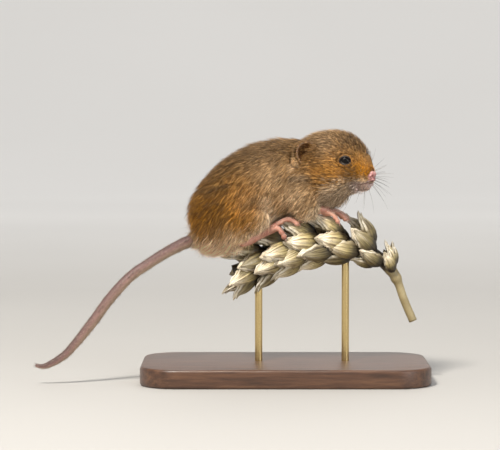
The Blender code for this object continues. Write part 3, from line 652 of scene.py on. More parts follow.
soft_hairs = 190000
guard_hairs = 40000
soft_coat = grow_coat(soft_hairs, False, draw)
coat_pair("coat_muzzle", soft_coat, 0.0, 0.16)
coat_pair("coat_head", soft_coat, 0.16, 0.29)
coat_pair("coat_neck", soft_coat, 0.29, 0.45)
coat_pair("coat_trunk", soft_coat, 0.45, 0.68)
coat_pair("coat_rump", soft_coat, 0.68)
coat_pair("guard_hair", grow_coat(guard_hairs, True, draw))

# The eyes
# Large glossy black eyes that bulge from the side of the head, each held by a thin dark lid.
# The ball is a sphere turned as one, and the lid a soft oval band that lies on it.
lid_half_width = 1.3
lid_half_height = 0.88
lid_hairs = 1100
look_aside, look_up = math.radians(64.0), math.radians(8.0)
eye_black = Shader("eye_black")
depth_tone = eye_black.ramp(eye_black.noise(500.0), (0.4, (0.003, 0.0025, 0.003)),
                            (0.6, (0.008, 0.006, 0.005)))
eye_material = eye_black.set(Base_Color=depth_tone, Roughness=0.06, Specular_IOR_Level=0.12)
lid_skin = Shader("lid_skin")
lid_tone = lid_skin.ramp(lid_skin.attribute("from_opening"), (0.04, (0.02, 0.012, 0.009)),
                         (0.2, (0.05, 0.026, 0.014)), (0.4, (0.2, 0.1, 0.04)))
lid_skin.bump(lid_skin.noise(5000.0), 0.3, 0.00005)
lid_material = lid_skin.set(Base_Color=lid_tone, Roughness=0.45)


def turned_to(direction, up=Vector((0.0, 0.0, 1.0))):
    z = direction.normalized()
    x = up.cross(z).normalized()
    return Matrix((x, z.cross(x), z)).transposed()


def placed_object(name, bm, material):
    """A finished piece from a bmesh in mm."""
    bm.transform(Matrix.Scale(MM, 4))
    bmesh.ops.recalc_face_normals(bm, faces=bm.faces)
    obj = linked_object(name, kept_mesh(name, bm))
    dress(obj, material)
    return obj


def bridge(bm, loops):
    """Faces between each loop of corners and the next."""
    for one, two in zip(loops, loops[1:]):
        for k in range(len(one)):
            bm.faces.new((one[k], one[k - 1], two[k - 1], two[k]))


def lid_shell(bm, middle, turn, side):
    """Both lids as one thin shell on the eyeball, with an almond opening whose front corner dips."""
    around, rows = 72, 9
    loops = []
    shares = [j / (rows - 1) for j in range(rows)]
    for share, lift in [(s, 0.17 - 0.05 * (s < 0.05)) for s in shares] + [(s, 0.03) for s in shares[::-1]]:
        loop = []
        for k in range(around):
            t = 2 * math.pi * k / around
            front = max(0.0, math.cos(t) * side) ** 8
            x = lid_half_width * math.cos(t) * (1.0 + 0.1 * front)
            y = lid_half_height * math.sin(t) - 0.22 * front
            reach = math.hypot(x, y)
            tilt = math.asin(min(0.999, reach / eye_radius)) * (1.0 - share) + math.radians(98.0) * share
            out = Vector((x / reach * math.sin(tilt), y / reach * math.sin(tilt), math.cos(tilt)))
            loop.append(bm.verts.new(middle + turn @ out * (eye_radius + lift)))
        loops.append(loop)
    bridge(bm, loops + loops[:1])
    return [share for share in shares + shares[::-1] for _ in range(around)]


for side, word in ((1, "left"), (-1, "right")):
    eye_middle = head_spot(*eye_place, side)
    look = head_way(math.cos(look_aside), math.sin(look_aside), math.sin(look_up), side)
    turn = turned_to(look)
    ball = bmesh.new()
    bmesh.ops.create_uvsphere(ball, u_segments=48, v_segments=24, radius=eye_radius)
    ball.transform(Matrix.Translation(eye_middle) @ turn.to_4x4())
    eye = placed_object("eye_ball_" + word, ball, eye_material)
    lid = bmesh.new()
    from_opening = lid_shell(lid, eye_middle, turn, side)
    rim = placed_object("eyelid_" + word, lid, lid_material)
    write_attribute(rim.data, "from_opening", "FLOAT", np.array(from_opening))
    for piece in (eye, rim):
        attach(piece, "root")
    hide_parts("eye_" + word)

    points, normals, corners = read_mesh(rim.data)
    gap = np.linalg.norm(points - np.array(eye_middle), axis=1)
    far = np.array(from_opening) * (gap > eye_radius + 0.08)
    root, normal = rooted(points, normals, corners, (far[corners].mean(1) > 0.16) * 1.0, lid_hairs, draw)
    sideways = flatten(root - np.array(eye_middle), normal)
    way = unit(lie_of_coat(root, normal) + 0.5 * unit(sideways) + draw.normal(0.0, 0.1, (lid_hairs, 3)))
    coat_piece("lid_hair_" + word, hair_set(
        root, normal, way, draw.uniform(0.35, 0.6, lid_hairs), draw.uniform(0.08, 0.2, lid_hairs),
        draw.uniform(0.06, 0.09, lid_hairs), markings(root, draw.normal(0.0, 1.0, lid_hairs)),
        draw.random(lid_hairs), (draw.random(lid_hairs) < 0.2) * 0.6))

# The nose and lips
# A bare lilac-pink pad in two lobes with a nostril at each side, above soft pale lips with a cleft.
# They are pressed from small lumps as clay; the nostrils, the cleft and the mouth are drawn in, and the
# nostrils and the mouth are painted dark as the shade inside them.
nose_skin = Shader("nose_skin")
nose_tone = nose_skin.ramp(nose_skin.noise(1200.0), (0.3, (0.36, 0.15, 0.14)), (0.7, (0.5, 0.27, 0.25)))
nose_tone = nose_skin.mix(nose_skin.attribute("lip"), nose_tone, (0.46, 0.33, 0.31))
# Painted shade in the nostrils and along the mouth.
nose_tone = nose_skin.mix(nose_skin.attribute("hollow"), nose_tone, (0.2, 0.035, 0.025))
nose_skin.bump(nose_skin.noise(6000.0), 0.35, 0.00005)
nose_material = nose_skin.set(Base_Color=nose_tone, Roughness=0.42, Subsurface_Weight=0.15,
                              Subsurface_Scale=0.0004)
head_axes = Matrix((head_way(1, 0, 0, 1), head_way(0, 1, 0, 1), Vector((0, 0, 1)))).transposed()


def egg(bm, spot, radii, turn=head_axes, segments=20):
    made = bmesh.ops.create_uvsphere(bm, u_segments=segments, v_segments=segments // 2, radius=1.0)
    place = Matrix.Translation(spot) @ turn.to_4x4() @ Matrix.Diagonal([*radii, 1.0])
    bmesh.ops.transform(bm, verts=made["verts"], matrix=place)


nose_turn = 0.3


def nose_spot(along, out, height, side):
    """A point of the nose, which is turned a little to the right of the head's axis."""
    return head_spot(along, out - side * nose_turn, height, side)


pad = bmesh.new()
for side in (1, -1):
    egg(pad, nose_spot(19.6, 0.46, 54.8, side), (0.85, 0.68, 0.85))
    egg(pad, nose_spot(19.35, 0.98, 54.3, side), (0.75, 0.48, 0.6))
    egg(pad, nose_spot(18.6, 1.3, 53.95, side), (1.15, 0.62, 0.85))
    egg(pad, nose_spot(19.15, 0.55, 53.45, side), (1.1, 0.62, 0.7))
    egg(pad, head_spot(17.9, 1.55, 52.95, side), (1.5, 0.95, 0.75))
egg(pad, head_spot(18.3, 0.0, 52.1, 1), (1.35, 1.15, 0.62))
egg(pad, head_spot(17.0, 0.0, 51.7, 1), (2.0, 1.7, 0.9))
pad.transform(Matrix.Scale(MM, 4))
nose = fused("nose_and_lips", pad, voxel=0.08, smoothing=5)
points, normals, _ = read_mesh(nose.data)
hollow = np.zeros(len(points))
for side in (1, -1):
    hollow = np.maximum(hollow, closeness(points, nose_spot(20.0, 0.95, 54.35, side), 0.3))
    hollow = np.maximum(hollow, 0.8 * closeness(points, nose_spot(19.6, 1.38, 54.1, side), 0.24))
along, out = head_coordinates(points)
height = points[:, 2]
cleft = np.exp(-((out + nose_turn) / 0.12) ** 2) * band(52.8, 53.1, 54.1, 54.6, height)
mouth = mouth_line(points)
points -= normals * (0.4 * hollow + 0.16 * cleft + 0.22 * mouth)[:, None]
set_points(nose, points)
on_pad = smoothstep(52.9, 53.5, points[:, 2]) * smoothstep(17.2, 18.4, along)
write_attribute(nose.data, "lip", "FLOAT", 1.0 - on_pad)
write_attribute(nose.data, "hollow", "FLOAT", np.clip(np.maximum(1.3 * hollow, 0.75 * mouth), 0.0, 1.0))
dress(nose, nose_material)
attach(nose, "root")

# The whiskers
# Long fine hairs in five rows from the pad beside the nose, dark and bending a little back and down.
# Each is a closed round hair that tapers to its tip and is rooted in the pad.
whisker_rows = 5
whisker_columns = 5
whisker_thickness = 0.095
whisker = Shader("whisker")
whisker_tone = whisker.ramp(whisker.noise(300.0), (0.4, (0.03, 0.022, 0.017)), (0.7, (0.3, 0.24, 0.18)))
whisker_material = whisker.set(Base_Color=whisker_tone, Roughness=0.4)


def ring(bm, middle, a, b, radius, sides):
    """Corners round a middle, in the plane of the directions a and b."""
    return [bm.verts.new(middle + (a * math.cos(t) + b * math.sin(t)) * radius)
            for t in (2 * math.pi * k / sides for k in range(sides))]


def hair_line(bm, line, thick, sides=5):
    """A closed tapering hair along a row of points, in mm."""
    loops = []
    for i, place in enumerate(line[:-1]):
        on = (line[i + 1] - place).normalized()
        x = on.orthogonal().normalized()
        loops.append(ring(bm, place, x, on.cross(x), thick * (1.0 - 0.8 * i / (len(line) - 1)) / 2, sides))
    tip = bm.verts.new(line[-1])
    bridge(bm, loops)
    for k in range(sides):
        bm.faces.new((loops[-1][k], loops[-1][k - 1], tip))
    bm.faces.new(loops[0])


whiskers = bmesh.new()
lots = np.random.default_rng(5)
for side in (1, -1):
    for row in range(whisker_rows):
        for column in range(whisker_columns):
            start = head_spot(18.3 - 0.7 * column, 1.9 + 0.33 * column - 0.1 * row, 55.1 - 0.5 * row, side)
            way = head_way(0.85 - 0.24 * column, 0.72, 0.48 - 0.27 * row, side)
            way = (way + Vector(lots.normal(0.0, 0.09, 3))).normalized()
            reach = (6.5 + 2.1 * column) * lots.uniform(0.8, 1.15)
            sag = head_way(-0.8, 0.1, -0.25, side)
            line = [start + way * reach * s + sag * reach * 0.2 * s * s for s in (k / 9 for k in range(10))]
            line[0] -= way * 0.5
            hair_line(whiskers, line, whisker_thickness)
whisker_piece = placed_object("whiskers", whiskers, whisker_material)
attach(whisker_piece, "root")

# The ears
# A thin rounded cup of skin behind each cheek, its rim standing a little off the coat.
# Short hairs cover its front edge and its back, and its hollow is nearly bare and dark.
ear_place = (3.5, 5.9, 60.1)
ear_height = 6.5
ear_width = 5.7
ear_depth = 1.9
ear_wall = 0.22
ear_hairs = 4600
ear_skin = Shader("ear_skin")
ear_tone = ear_skin.ramp(ear_skin.attribute("cup"), (0.0, (0.08, 0.035, 0.012)), (0.6, (0.11, 0.05, 0.015)),
                         (0.9, (0.1, 0.046, 0.018)), (0.99, (0.3, 0.21, 0.15)))
ear_tone = ear_skin.tint(ear_tone, ear_skin.ramp(ear_skin.noise(900.0), (0.3, 0.6), (0.7, 1.2)), 0.5)
ear_skin.bump(ear_skin.noise(3000.0), 0.4, 0.0001)
ear_material = ear_skin.set(Base_Color=ear_tone, Roughness=0.75, Specular_IOR_Level=0.25,
                            Subsurface_Weight=0.2, Subsurface_Scale=0.0005)


def in_cup(p, ear_spot, turn):
    """Points as seen from the middle of the ear's cup, and their distance from it, 1 at the rim."""
    away = (p - np.array(ear_spot)) @ np.array(turn)
    return away, np.hypot(away[:, 0] / ear_width * 2, away[:, 1] / ear_height * 2)

for side, word in ((1, "left"), (-1, "right")):
    ear_out = head_way(0.42, 1.0, 0.12, side)
    turn = turned_to(ear_out, Vector((0, 0, 1)) - head_way(1, 0, 0, side) * 0.25)
    ear_spot = head_spot(*ear_place, side)
    cup = bmesh.new()
    rings, sides = 14, 44
    loops = [[cup.verts.new((0.0, 0.0, -ear_depth))]]
    for r in range(1, rings + 1):
        part = r / rings
        loop = []
        for k in range(sides):
            t = 2 * math.pi * k / sides
            x, y = math.cos(t), math.sin(t)
            back = max(0.0, x * side)
            lift = 0.9 * back * part ** 2 + 0.12 * math.sin(3 * t + 0.6) * part ** 3
            loop.append(cup.verts.new((x * ear_width / 2 * part, y * ear_height / 2 * part,
                                       -ear_depth * (1 - part ** 2) + lift)))
        loops.append(loop)
    for k in range(sides):
        cup.faces.new((loops[0][0], loops[1][k - 1], loops[1][k]))
    for one, two in zip(loops[1:], loops[2:]):
        for k in range(sides):
            cup.faces.new((one[k - 1], two[k - 1], two[k], one[k]))
    cup.transform(Matrix.Translation(ear_spot) @ turn.to_4x4())
    ear = placed_object("ear_cup_" + word, cup, ear_material)
    depths = [0.0] + [r / rings for r in range(1, rings + 1) for _ in range(sides)]
    write_attribute(ear.data, "cup", "FLOAT", np.array(depths))
    wall = ear.modifiers.new("Wall", "SOLIDIFY")
    wall.thickness = ear_wall * MM
    wall.offset = 0.0
    rounding = ear.modifiers.new("Rounding", "SUBSURF")
    rounding.levels = 1
    rounding.render_levels = 1
    ear.data = settled(ear)
    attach(ear, "root")
    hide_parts("ear_" + word)

    points, normals, corners = read_mesh(ear.data)
    middle = points[corners].mean(1)
    away, from_middle = in_cup(middle, ear_spot, turn)
    inner = (normals[corners].mean(1) @ np.array(ear_out)) > 0
    front_share = smoothstep(0.35, 1.0, -away[:, 0] * side / (ear_width / 2))
    share = np.where(inner, 0.03 + 1.6 * front_share + 0.9 * (from_middle > 0.9), 1.6)
    root, normal = rooted(points, normals, corners, share, ear_hairs, draw)
    back_way = np.array(head_way(-1.0, 0.15, 0.05, side))[None] + np.zeros((ear_hairs, 3))
    on_back = normal @ np.array(ear_out) < 0.1
    outward = np.where(on_back, np.maximum(0.0, (back_way * normal).sum(1)), 0.0)[:, None]
    way = unit(flatten(back_way, normal) + normal * outward + draw.normal(0, 0.15, (ear_hairs, 3)))
    _, from_middle = in_cup(root, ear_spot, turn)
    longer = np.where(on_back, 1.5, np.where(from_middle > 0.86, 0.45, 1.0))
    length = draw.uniform(0.7, 1.4, ear_hairs) * longer
    rise = draw.uniform(0.1, 0.35, ear_hairs) * np.where(on_back, 1.5, 1.0)
    marks = np.column_stack((np.where(from_middle > 0.9, 0.12, 0.0), np.where(on_back, 0.05, 0.3),
                             np.where(on_back, 0.45, 0.6)))
    coat_piece("ear_down_" + word, hair_set(
        root, normal, way, length, rise, draw.uniform(0.07, 0.12, ear_hairs),
        (marks, np.zeros((ear_hairs, 3))), draw.random(ear_hairs), (draw.random(ear_hairs) < 0.2) * 0.7))

# The feet
# Bare pink feet with slender padded toes that grip the husks, each toe ending in a small curved claw.
# Soles, toes and pads are fused as clay from tubes through their joints; the claws are separate.
toe_radius = 0.7
finger_radius = 0.6
claw_length = 0.95
foot_hairs = 700
hind_toes = (
    ((-3.8, 5.9, 40.0, 1.1), (-2.2, 6.6, 40.6, 1.0), (-1.1, 6.9, 39.6, 0.95), (-0.4, 7.0, 38.5, 0.9)),
    ((-3.6, 5.2, 40.6, 1.15), (-1.2, 5.1, 42.2, 1.0), (0.9, 5.1, 42.9, 1.0), (3.0, 5.2, 41.9, 1.0)),
    ((-3.6, 4.4, 40.7, 1.15), (-1.0, 4.0, 42.3, 1.0), (1.4, 3.6, 43.0, 0.95), (3.6, 3.4, 42.4, 0.95)),
    ((-3.7, 3.7, 40.6, 1.15), (-1.4, 2.9, 42.1, 1.0), (0.6, 2.3, 42.7, 0.95), (2.6, 1.9, 42.2, 0.9)),
    ((-4.6, 3.4, 40.2, 1.05), (-3.2, 2.2, 41.2, 0.95), (-1.8, 1.3, 41.3, 0.9)),
)
fingers = (
    ((10.6, 4.2, 44.6, 1.2), (11.9, 5.2, 44.4, 1.0), (13.0, 5.9, 43.5, 0.95), (13.7, 6.2, 42.5, 0.9)),
    ((11.0, 3.7, 44.8, 1.25), (12.9, 4.1, 44.8, 1.0), (14.6, 4.5, 44.0, 1.0), (15.7, 4.6, 43.0, 0.95)),
    ((11.1, 3.1, 44.9, 1.25), (13.1, 3.0, 44.9, 1.0), (15.0, 2.9, 44.1, 1.0), (16.2, 2.8, 43.2, 0.95)),
    ((10.8, 2.6, 44.7, 1.2), (12.4, 2.1, 44.6, 1.0), (13.8, 1.5, 44.1, 0.95), (14.9, 1.2, 43.4, 0.9)),
)
sole_line = ((-11.6, 6.4, 37.0, 1.35), (-9.6, 6.0, 37.6, 1.5), (-6.6, 5.3, 39.1, 1.4), (-3.8, 4.8, 40.5, 1.5))
wrist_line = ((8.4, 4.4, 45.6, 1.35), (9.6, 4.0, 45.4, 1.35), (11.2, 3.4, 45.0, 1.4))
foot_skin = Shader("foot_skin")
blush = foot_skin.ramp(foot_skin.noise(350.0), (0.3, (0.34, 0.145, 0.1)), (0.7, (0.58, 0.3, 0.215)))
creases = foot_skin.node("ShaderNodeTexWave", {"Vector": foot_skin.place(), "Scale": 1400.0,
                                               "Distortion": 3.0, "Detail": 1.0}).outputs[1]
creases = foot_skin.math("ADD", foot_skin.math("MULTIPLY", creases, 0.6), foot_skin.noise(5000.0))
foot_skin.bump(creases, 0.35, 0.0001)
foot_material = foot_skin.set(Base_Color=blush, Roughness=0.5, Subsurface_Weight=0.2, Subsurface_Scale=0.0005)
claw_horn = Shader("claw_horn")
horn = claw_horn.ramp(claw_horn.noise(1500.0), (0.3, (0.33, 0.13, 0.1)), (0.7, (0.6, 0.42, 0.34)))
claw_material = claw_horn.set(Base_Color=horn, Roughness=0.3)


def smooth_rows(rows, count):
    """count rows read from a smooth curve through the given rows."""
    rows = np.array(rows, float)
    padded = np.vstack([2 * rows[0] - rows[1], rows, 2 * rows[-1] - rows[-2]])
    found = []
    for place in np.linspace(0.0, len(rows) - 1.000001, count):
        i = int(place)
        t = place - i
        a, b, c, d = padded[i : i + 4]
        found.append(0.5 * (2 * b + (c - a) * t + (2 * a - 5 * b + 4 * c - d) * t ** 2
                            + (3 * b - a - 3 * c + d) * t ** 3))
    return np.array(found)


def limb_tube(bm, rows, count, sides=14):
    """A closed round tube through rows of x, y, z and radius, in mm."""
    found = smooth_rows(rows, count)
    loops = []
    for i, (x, y, z, radius) in enumerate(found):
        on = Vector(found[min(i + 1, count - 1)][:3] - found[max(i - 1, 0)][:3]).normalized()
        a = on.orthogonal().normalized()
        a = (Vector((0, 0, 1)) - on * on.z).normalized() if abs(on.z) < 0.95 else a
        loops.append(ring(bm, Vector((x, y, z)), a, on.cross(a), radius, sides))
    bridge(bm, loops)
    bm.faces.new(loops[0])
    bm.faces.new(loops[-1])
    return [Vector(row[:3]) for row in found]


straight = Matrix.Identity(3)


def toes(bm, claws, digits, radius, side):
    for joints in digits:
        rows = [(x, side * y, z, radius * r * 0.92) for x, y, z, r in joints]
        line = limb_tube(bm, rows, 12)
        on = (line[-1] - line[-4]).normalized()
        tip = line[-1]
        egg(bm, tip + Vector((0, 0, -0.12)), [radius * 1.12] * 3, straight, 12)
        for x, y, z, r in rows[1:-1]:
            egg(bm, (x, y, z - 0.1), [r * 1.16] * 3, straight, 12)
        down = Vector((0, 0, -1))
        curve = [(*(tip + on * 0.3), 0.26), (*(tip + on * 0.72 + down * 0.02), 0.22),
                 (*(tip + on * 0.7 * claw_length + on * 0.3 + down * 0.22), 0.14),
                 (*(tip + on * claw_length + on * 0.2 + down * 0.5), 0.03)]
        limb_tube(claws, curve, 9, 10)


feet = (("hind_foot", hind_toes, toe_radius, sole_line, "hindfoot_"),
        ("fore_paw", fingers, finger_radius, wrist_line, "forepaw_"))
for side, word in ((1, "left"), (-1, "right")):
    for foot_name, digits, radius, line, node in feet:
        clay = bmesh.new()
        claws = bmesh.new()
        limb_tube(clay, [(x, side * y, z, r) for x, y, z, r in line], 16, 18)
        if node == "hindfoot_":
            egg(clay, (-11.4, side * 6.4, 37.0), (1.4, 1.4, 1.4), straight)
            egg(clay, (-3.7, side * 4.6, 40.3), (1.7, 2.1, 1.15), straight)
        else:
            egg(clay, (11.1, side * 3.4, 44.5), (1.5, 1.5, 0.9), straight)
        toes(clay, claws, digits, radius, side)
        clay.transform(Matrix.Scale(MM, 4))
        foot = fused(f"{foot_name}_{word}", clay, voxel=0.125, smoothing=4)
        dress(foot, foot_material)
        points, normals, corners = read_mesh(foot.data)
        upper = smoothstep(-0.2, 0.6, normals[corners].mean(1)[:, 2])
        root, normal = rooted(points, normals, corners, upper, foot_hairs, draw)
        toeward = unit(np.array((1.0, 0.0, 0.35)) + draw.normal(0.0, 0.25, (foot_hairs, 3)))
        plain = (np.full((foot_hairs, 3), (0.4, 0.0, 0.0)), np.full((foot_hairs, 3), (0.0, 0.7, 0.0)))
        coat_piece(f"down_{foot_name}_{word}", hair_set(
            root, normal, unit(flatten(toeward, normal)), draw.uniform(0.35, 0.75, foot_hairs),
            draw.uniform(0.05, 0.16, foot_hairs), np.full(foot_hairs, 0.045), plain,
            draw.uniform(0.4, 1.0, foot_hairs), np.zeros(foot_hairs)))
        claw_set = placed_object(f"claws_{foot_name}_{word}", claws, claw_material)
        for piece in (foot, claw_set):
            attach(piece, "root")
        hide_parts(node + word)

# The tail
# A long finely ringed tail with sparse short hairs, mauve-brown above and paler below.
# A round section runs along its middle line, and every other loop stands out as a ring, by a share
# of the radius.
tail_line = (
    (-20.0, 0.0, 39.4, 1.5), (-23.6, 0.0, 37.6, 1.5), (-27.8, -1.5, 35.8, 1.42), (-31.7, -3.2, 33.8, 1.3),
    (-35.6, -5.0, 31.4, 1.26), (-40.7, -7.0, 27.9, 1.25), (-45.9, -8.6, 22.3, 1.28),
    (-51.0, -9.8, 15.4, 1.22), (-56.2, -10.6, 9.1, 1.02), (-58.7, -10.8, 6.9, 0.94),
    (-61.3, -10.9, 5.4, 0.8), (-63.4, -10.8, 4.7, 0.62), (-65.3, -10.6, 5.0, 0.4))
tail_skin = Shader("tail_skin")
tail_tone = tail_skin.ramp(tail_skin.attribute("upper"), (0.05, (0.6, 0.46, 0.32)), (0.3, (0.42, 0.29, 0.21)),
                           (0.55, (0.27, 0.155, 0.13)), (0.8, (0.15, 0.08, 0.074)), (1.0, (0.1, 0.055, 0.05)))
speckle = tail_skin.ramp(tail_skin.noise(4600.0, 4.0), (0.35, (0.55, 0.52, 0.5)), (0.65, 1.3))
tail_tone = tail_skin.tint(tail_tone, speckle, 0.7)
tail_skin.bump(tail_skin.noise(4200.0, 4.0), 0.5, 0.0001)
tail_material = tail_skin.set(Base_Color=tail_tone, Roughness=0.55)
ring_pitch = 0.34
ring_height = 0.1025
bristle_count = 3600

rows = smooth_rows(tail_line, 400)
runs = np.concatenate(([0.0], np.cumsum(np.linalg.norm(np.diff(rows[:, :3], axis=0), axis=1))))
loop_places = np.arange(0.0, runs[-1], ring_pitch / 2)
tail_rows = np.stack([np.interp(loop_places, runs, rows[:, k]) for k in range(4)], axis=1)
guide = bpy.data.curves.new("tail_guide", "CURVE")
guide.dimensions = "3D"
spline = guide.splines.new("POLY")
spline.points.add(len(tail_rows) - 1)
for point, row in zip(spline.points, tail_rows):
    point.co = (*(row[:3] * MM), 1.0)
    point.radius = row[3]
tail = linked_object("tail", guide)


def node_tree(name, sockets):
    """An empty Geometry Nodes tree with these named inputs: (name, socket kind, value)."""
    tree = bpy.data.node_groups.new(name, "GeometryNodeTree")
    tree.interface.new_socket("Geometry", in_out="INPUT", socket_type="NodeSocketGeometry")
    for label, kind, value in sockets:
        socket = tree.interface.new_socket(label, in_out="INPUT", socket_type=kind)
        if value is not None:
            socket.default_value = value
    tree.interface.new_socket("Geometry", in_out="OUTPUT", socket_type="NodeSocketGeometry")
    return tree, tree.nodes.new("NodeGroupInput"), tree.nodes.new("NodeGroupOutput")


def grow_with(obj, tree, values):
    """Runs the tree on the object, with inputs set by identifier, and keeps the plain mesh it makes."""
    modifier = obj.modifiers.new(tree.name, "NODES")
    modifier.node_group = tree
    for item in tree.interface.items_tree:
        if item.item_type == "SOCKET" and item.in_out == "INPUT" and item.name in values:
            modifier[item.identifier] = values[item.name]
    return settled(obj)


def finish_tree(tree, given, result, geometry):
    """Ends a tree with the finish that it was given."""
    finish = add_node(tree, "GeometryNodeSetMaterial", {"Geometry": geometry,
                                                        "Material": given.outputs["Finish"]})
    feed(tree, result.inputs["Geometry"], finish.outputs["Geometry"])


tree, given, result = node_tree("ringed_tail", (
    ("Ring height", "NodeSocketFloat", 0.1), ("Sides", "NodeSocketInt", 20),
    ("Finish", "NodeSocketMaterial", None)))
index = add_node(tree, "GeometryNodeInputIndex")
odd = add_node(tree, "ShaderNodeMath", {0: index.outputs[0], 1: 2.0}, operation="MODULO")
raised = add_node(tree, "ShaderNodeMath", {0: odd.outputs[0], 1: given.outputs["Ring height"], 2: 1.0},
                  operation="MULTIPLY_ADD")
own_radius = add_node(tree, "GeometryNodeInputRadius")
ringed = add_node(tree, "ShaderNodeMath", {0: own_radius.outputs[0], 1: raised.outputs[0]},
                  operation="MULTIPLY")
section = add_node(tree, "GeometryNodeCurvePrimitiveCircle", {"Resolution": given.outputs["Sides"],
                                                              "Radius": MM})
sweep = add_node(tree, "GeometryNodeCurveToMesh", {
    "Curve": given.outputs["Geometry"], "Profile Curve": section.outputs["Curve"],
    "Scale": ringed.outputs[0], "Fill Caps": True})
finish_tree(tree, given, result, sweep.outputs["Mesh"])
tail_mesh = grow_with(tail, tree, {"Ring height": ring_height, "Sides": 20, "Finish": tail_material})
bpy.data.objects.remove(tail)
tail_bm = bmesh.new()
tail_bm.from_mesh(tail_mesh)
bmesh.ops.remove_doubles(tail_bm, verts=tail_bm.verts, dist=1e-7)
bmesh.ops.triangulate(tail_bm, faces=[f for f in tail_bm.faces if len(f.verts) > 4])
tail_bm.transform(Matrix.Scale(1.0 / MM, 4))
tail = placed_object("tail", tail_bm, tail_material)
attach(tail, "root")
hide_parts("tail_1", "tail_2", "tail_3", "tail_4")

points, normals, corners = read_mesh(tail.data)
to_tip = smoothstep(50.0, 64.0, -points[:, 0])
write_attribute(tail.data, "upper", "FLOAT", np.clip(normals[:, 2] * 0.5 + 0.5 + 0.28 * to_tip, 0.0, 1.0))
middle = points[corners].mean(1)
short_of_tip = middle[:, 0] > -65.6
root, normal = rooted(points, normals, corners, short_of_tip * 1.0, bristle_count, draw)
tail_way = unit(np.gradient(tail_rows[:, :3], axis=0))
way = tail_way[nearest(tail_rows[:, :3], root)]
way = unit(flatten(way, normal) + draw.normal(0.0, 0.12, (bristle_count, 3)))
verts, faces = blades(root, normal, way, draw.uniform(0.6, 1.2, bristle_count),
                      draw.uniform(0.08, 0.3, bristle_count), draw.uniform(0.04, 0.07, bristle_count))
bristle = Shader("tail_bristle")
bristle_tone = bristle.ramp(bristle.noise(1800.0), (0.4, (0.09, 0.06, 0.045)), (0.65, (0.5, 0.4, 0.3)))
mesh = mesh_of_triangles("tail_bristles", verts, faces)
round_tail = np.arctan2(normal[:, 1], normal[:, 2]) / 6.4 + 0.5
bake_patches(mesh, faces, np.stack((np.clip(-root[:, 0] / 70.0, 0, 0.99), round_tail), axis=1))
bristles = linked_object("tail_bristles", mesh)
bristles.data.materials.append(bristle.set(Base_Color=bristle_tone, Roughness=0.45))
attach(bristles, "root")

# The wheat ear
# A ripe ear that the mouse grips, cut at both ends: keeled husks in two rows along a bent stem.
# One husk with its nerves and beak is modelled and set on every place by Geometry Nodes.
ear_line = (
    (34.0, 0.0, 15.6), (31.6, 0.0, 21.2), (29.9, 0.0, 26.0), (28.2, 0.0, 29.0), (24.6, 0.0, 32.6),
    (21.2, 0.0, 34.7), (17.2, 0.0, 35.8), (13.3, 0.0, 36.0), (9.3, 0.0, 35.8), (5.3, 0.0, 35.2),
    (1.3, 0.0, 34.2), (-2.7, 0.0, 32.9), (-6.6, 0.0, 31.3), (-10.6, 0.0, 29.9), (-14.6, 0.0, 28.6),
    (-18.6, 0.0, 27.4))
spikelet_pitch = 3.5
spikelet_first = 14.2
spikelet_count = 12
spikelet_side = (4.0, 184.0)
husk_fan = (-73.0, -25.0, 0.0, 25.0, 73.0)
husk_length = 10.8
husk_width = 5.8
husk_depth = 3.9
stem_radius = 1.1

straw = Shader("ripe_husk")
husk_lot = straw.attribute("husk_lot")
on_husk, round_husk, _ = straw.parts(straw.attribute("husk_place", "Vector"))
own_streaks = straw.node("ShaderNodeCombineXYZ", {
    "X": straw.math("MULTIPLY", on_husk, 2.2), "Y": straw.math("MULTIPLY", round_husk, 26.0),
    "Z": straw.math("MULTIPLY", husk_lot, 40.0)}).outputs[0]
# Olive straw at the base to a pale papery tip is the husk's own colour; the near-black base is painted shade
# where it tucks in under its neighbour.
husk_colour = straw.ramp(on_husk, (0.18, (0.03, 0.02, 0.01)), (0.34, (0.1, 0.078, 0.032)),
                         (0.5, (0.36, 0.3, 0.14)), (0.68, (0.62, 0.54, 0.36)), (0.84, (0.98, 0.92, 0.8)),
                         (1.0, (0.68, 0.6, 0.48)))
by_husk = straw.ramp(husk_lot, (0.0, (0.34, 0.31, 0.23)), (0.5, (0.62, 0.58, 0.48)), (1.0, (1.1, 1.05, 0.98)))
weathered = straw.ramp(straw.noise(1.0, 5.0, 0.6, own_streaks), (0.36, (0.13, 0.09, 0.06)),
                       (0.44, (0.66, 0.62, 0.54)), (0.54, (1.0, 1.0, 0.98)), (0.66, (1.6, 1.6, 1.58)))
husk_colour = straw.tint(straw.tint(husk_colour, by_husk), weathered, 0.85)
nerves = straw.math("SINE", straw.math("MULTIPLY", round_husk, 2 * math.pi * 30))
streak = straw.ramp(nerves, (0.0, (0.86, 0.85, 0.82)), (0.8, (1.04, 1.04, 1.03)))
husk_colour = straw.tint(husk_colour, streak, 0.7)
at_margin = straw.math("ABSOLUTE", straw.math("SINE", straw.math("MULTIPLY", round_husk, 2 * math.pi)))
margin_share = straw.parts(straw.ramp(at_margin, (0.86, 0.0), (0.97, 1.0)))[0]
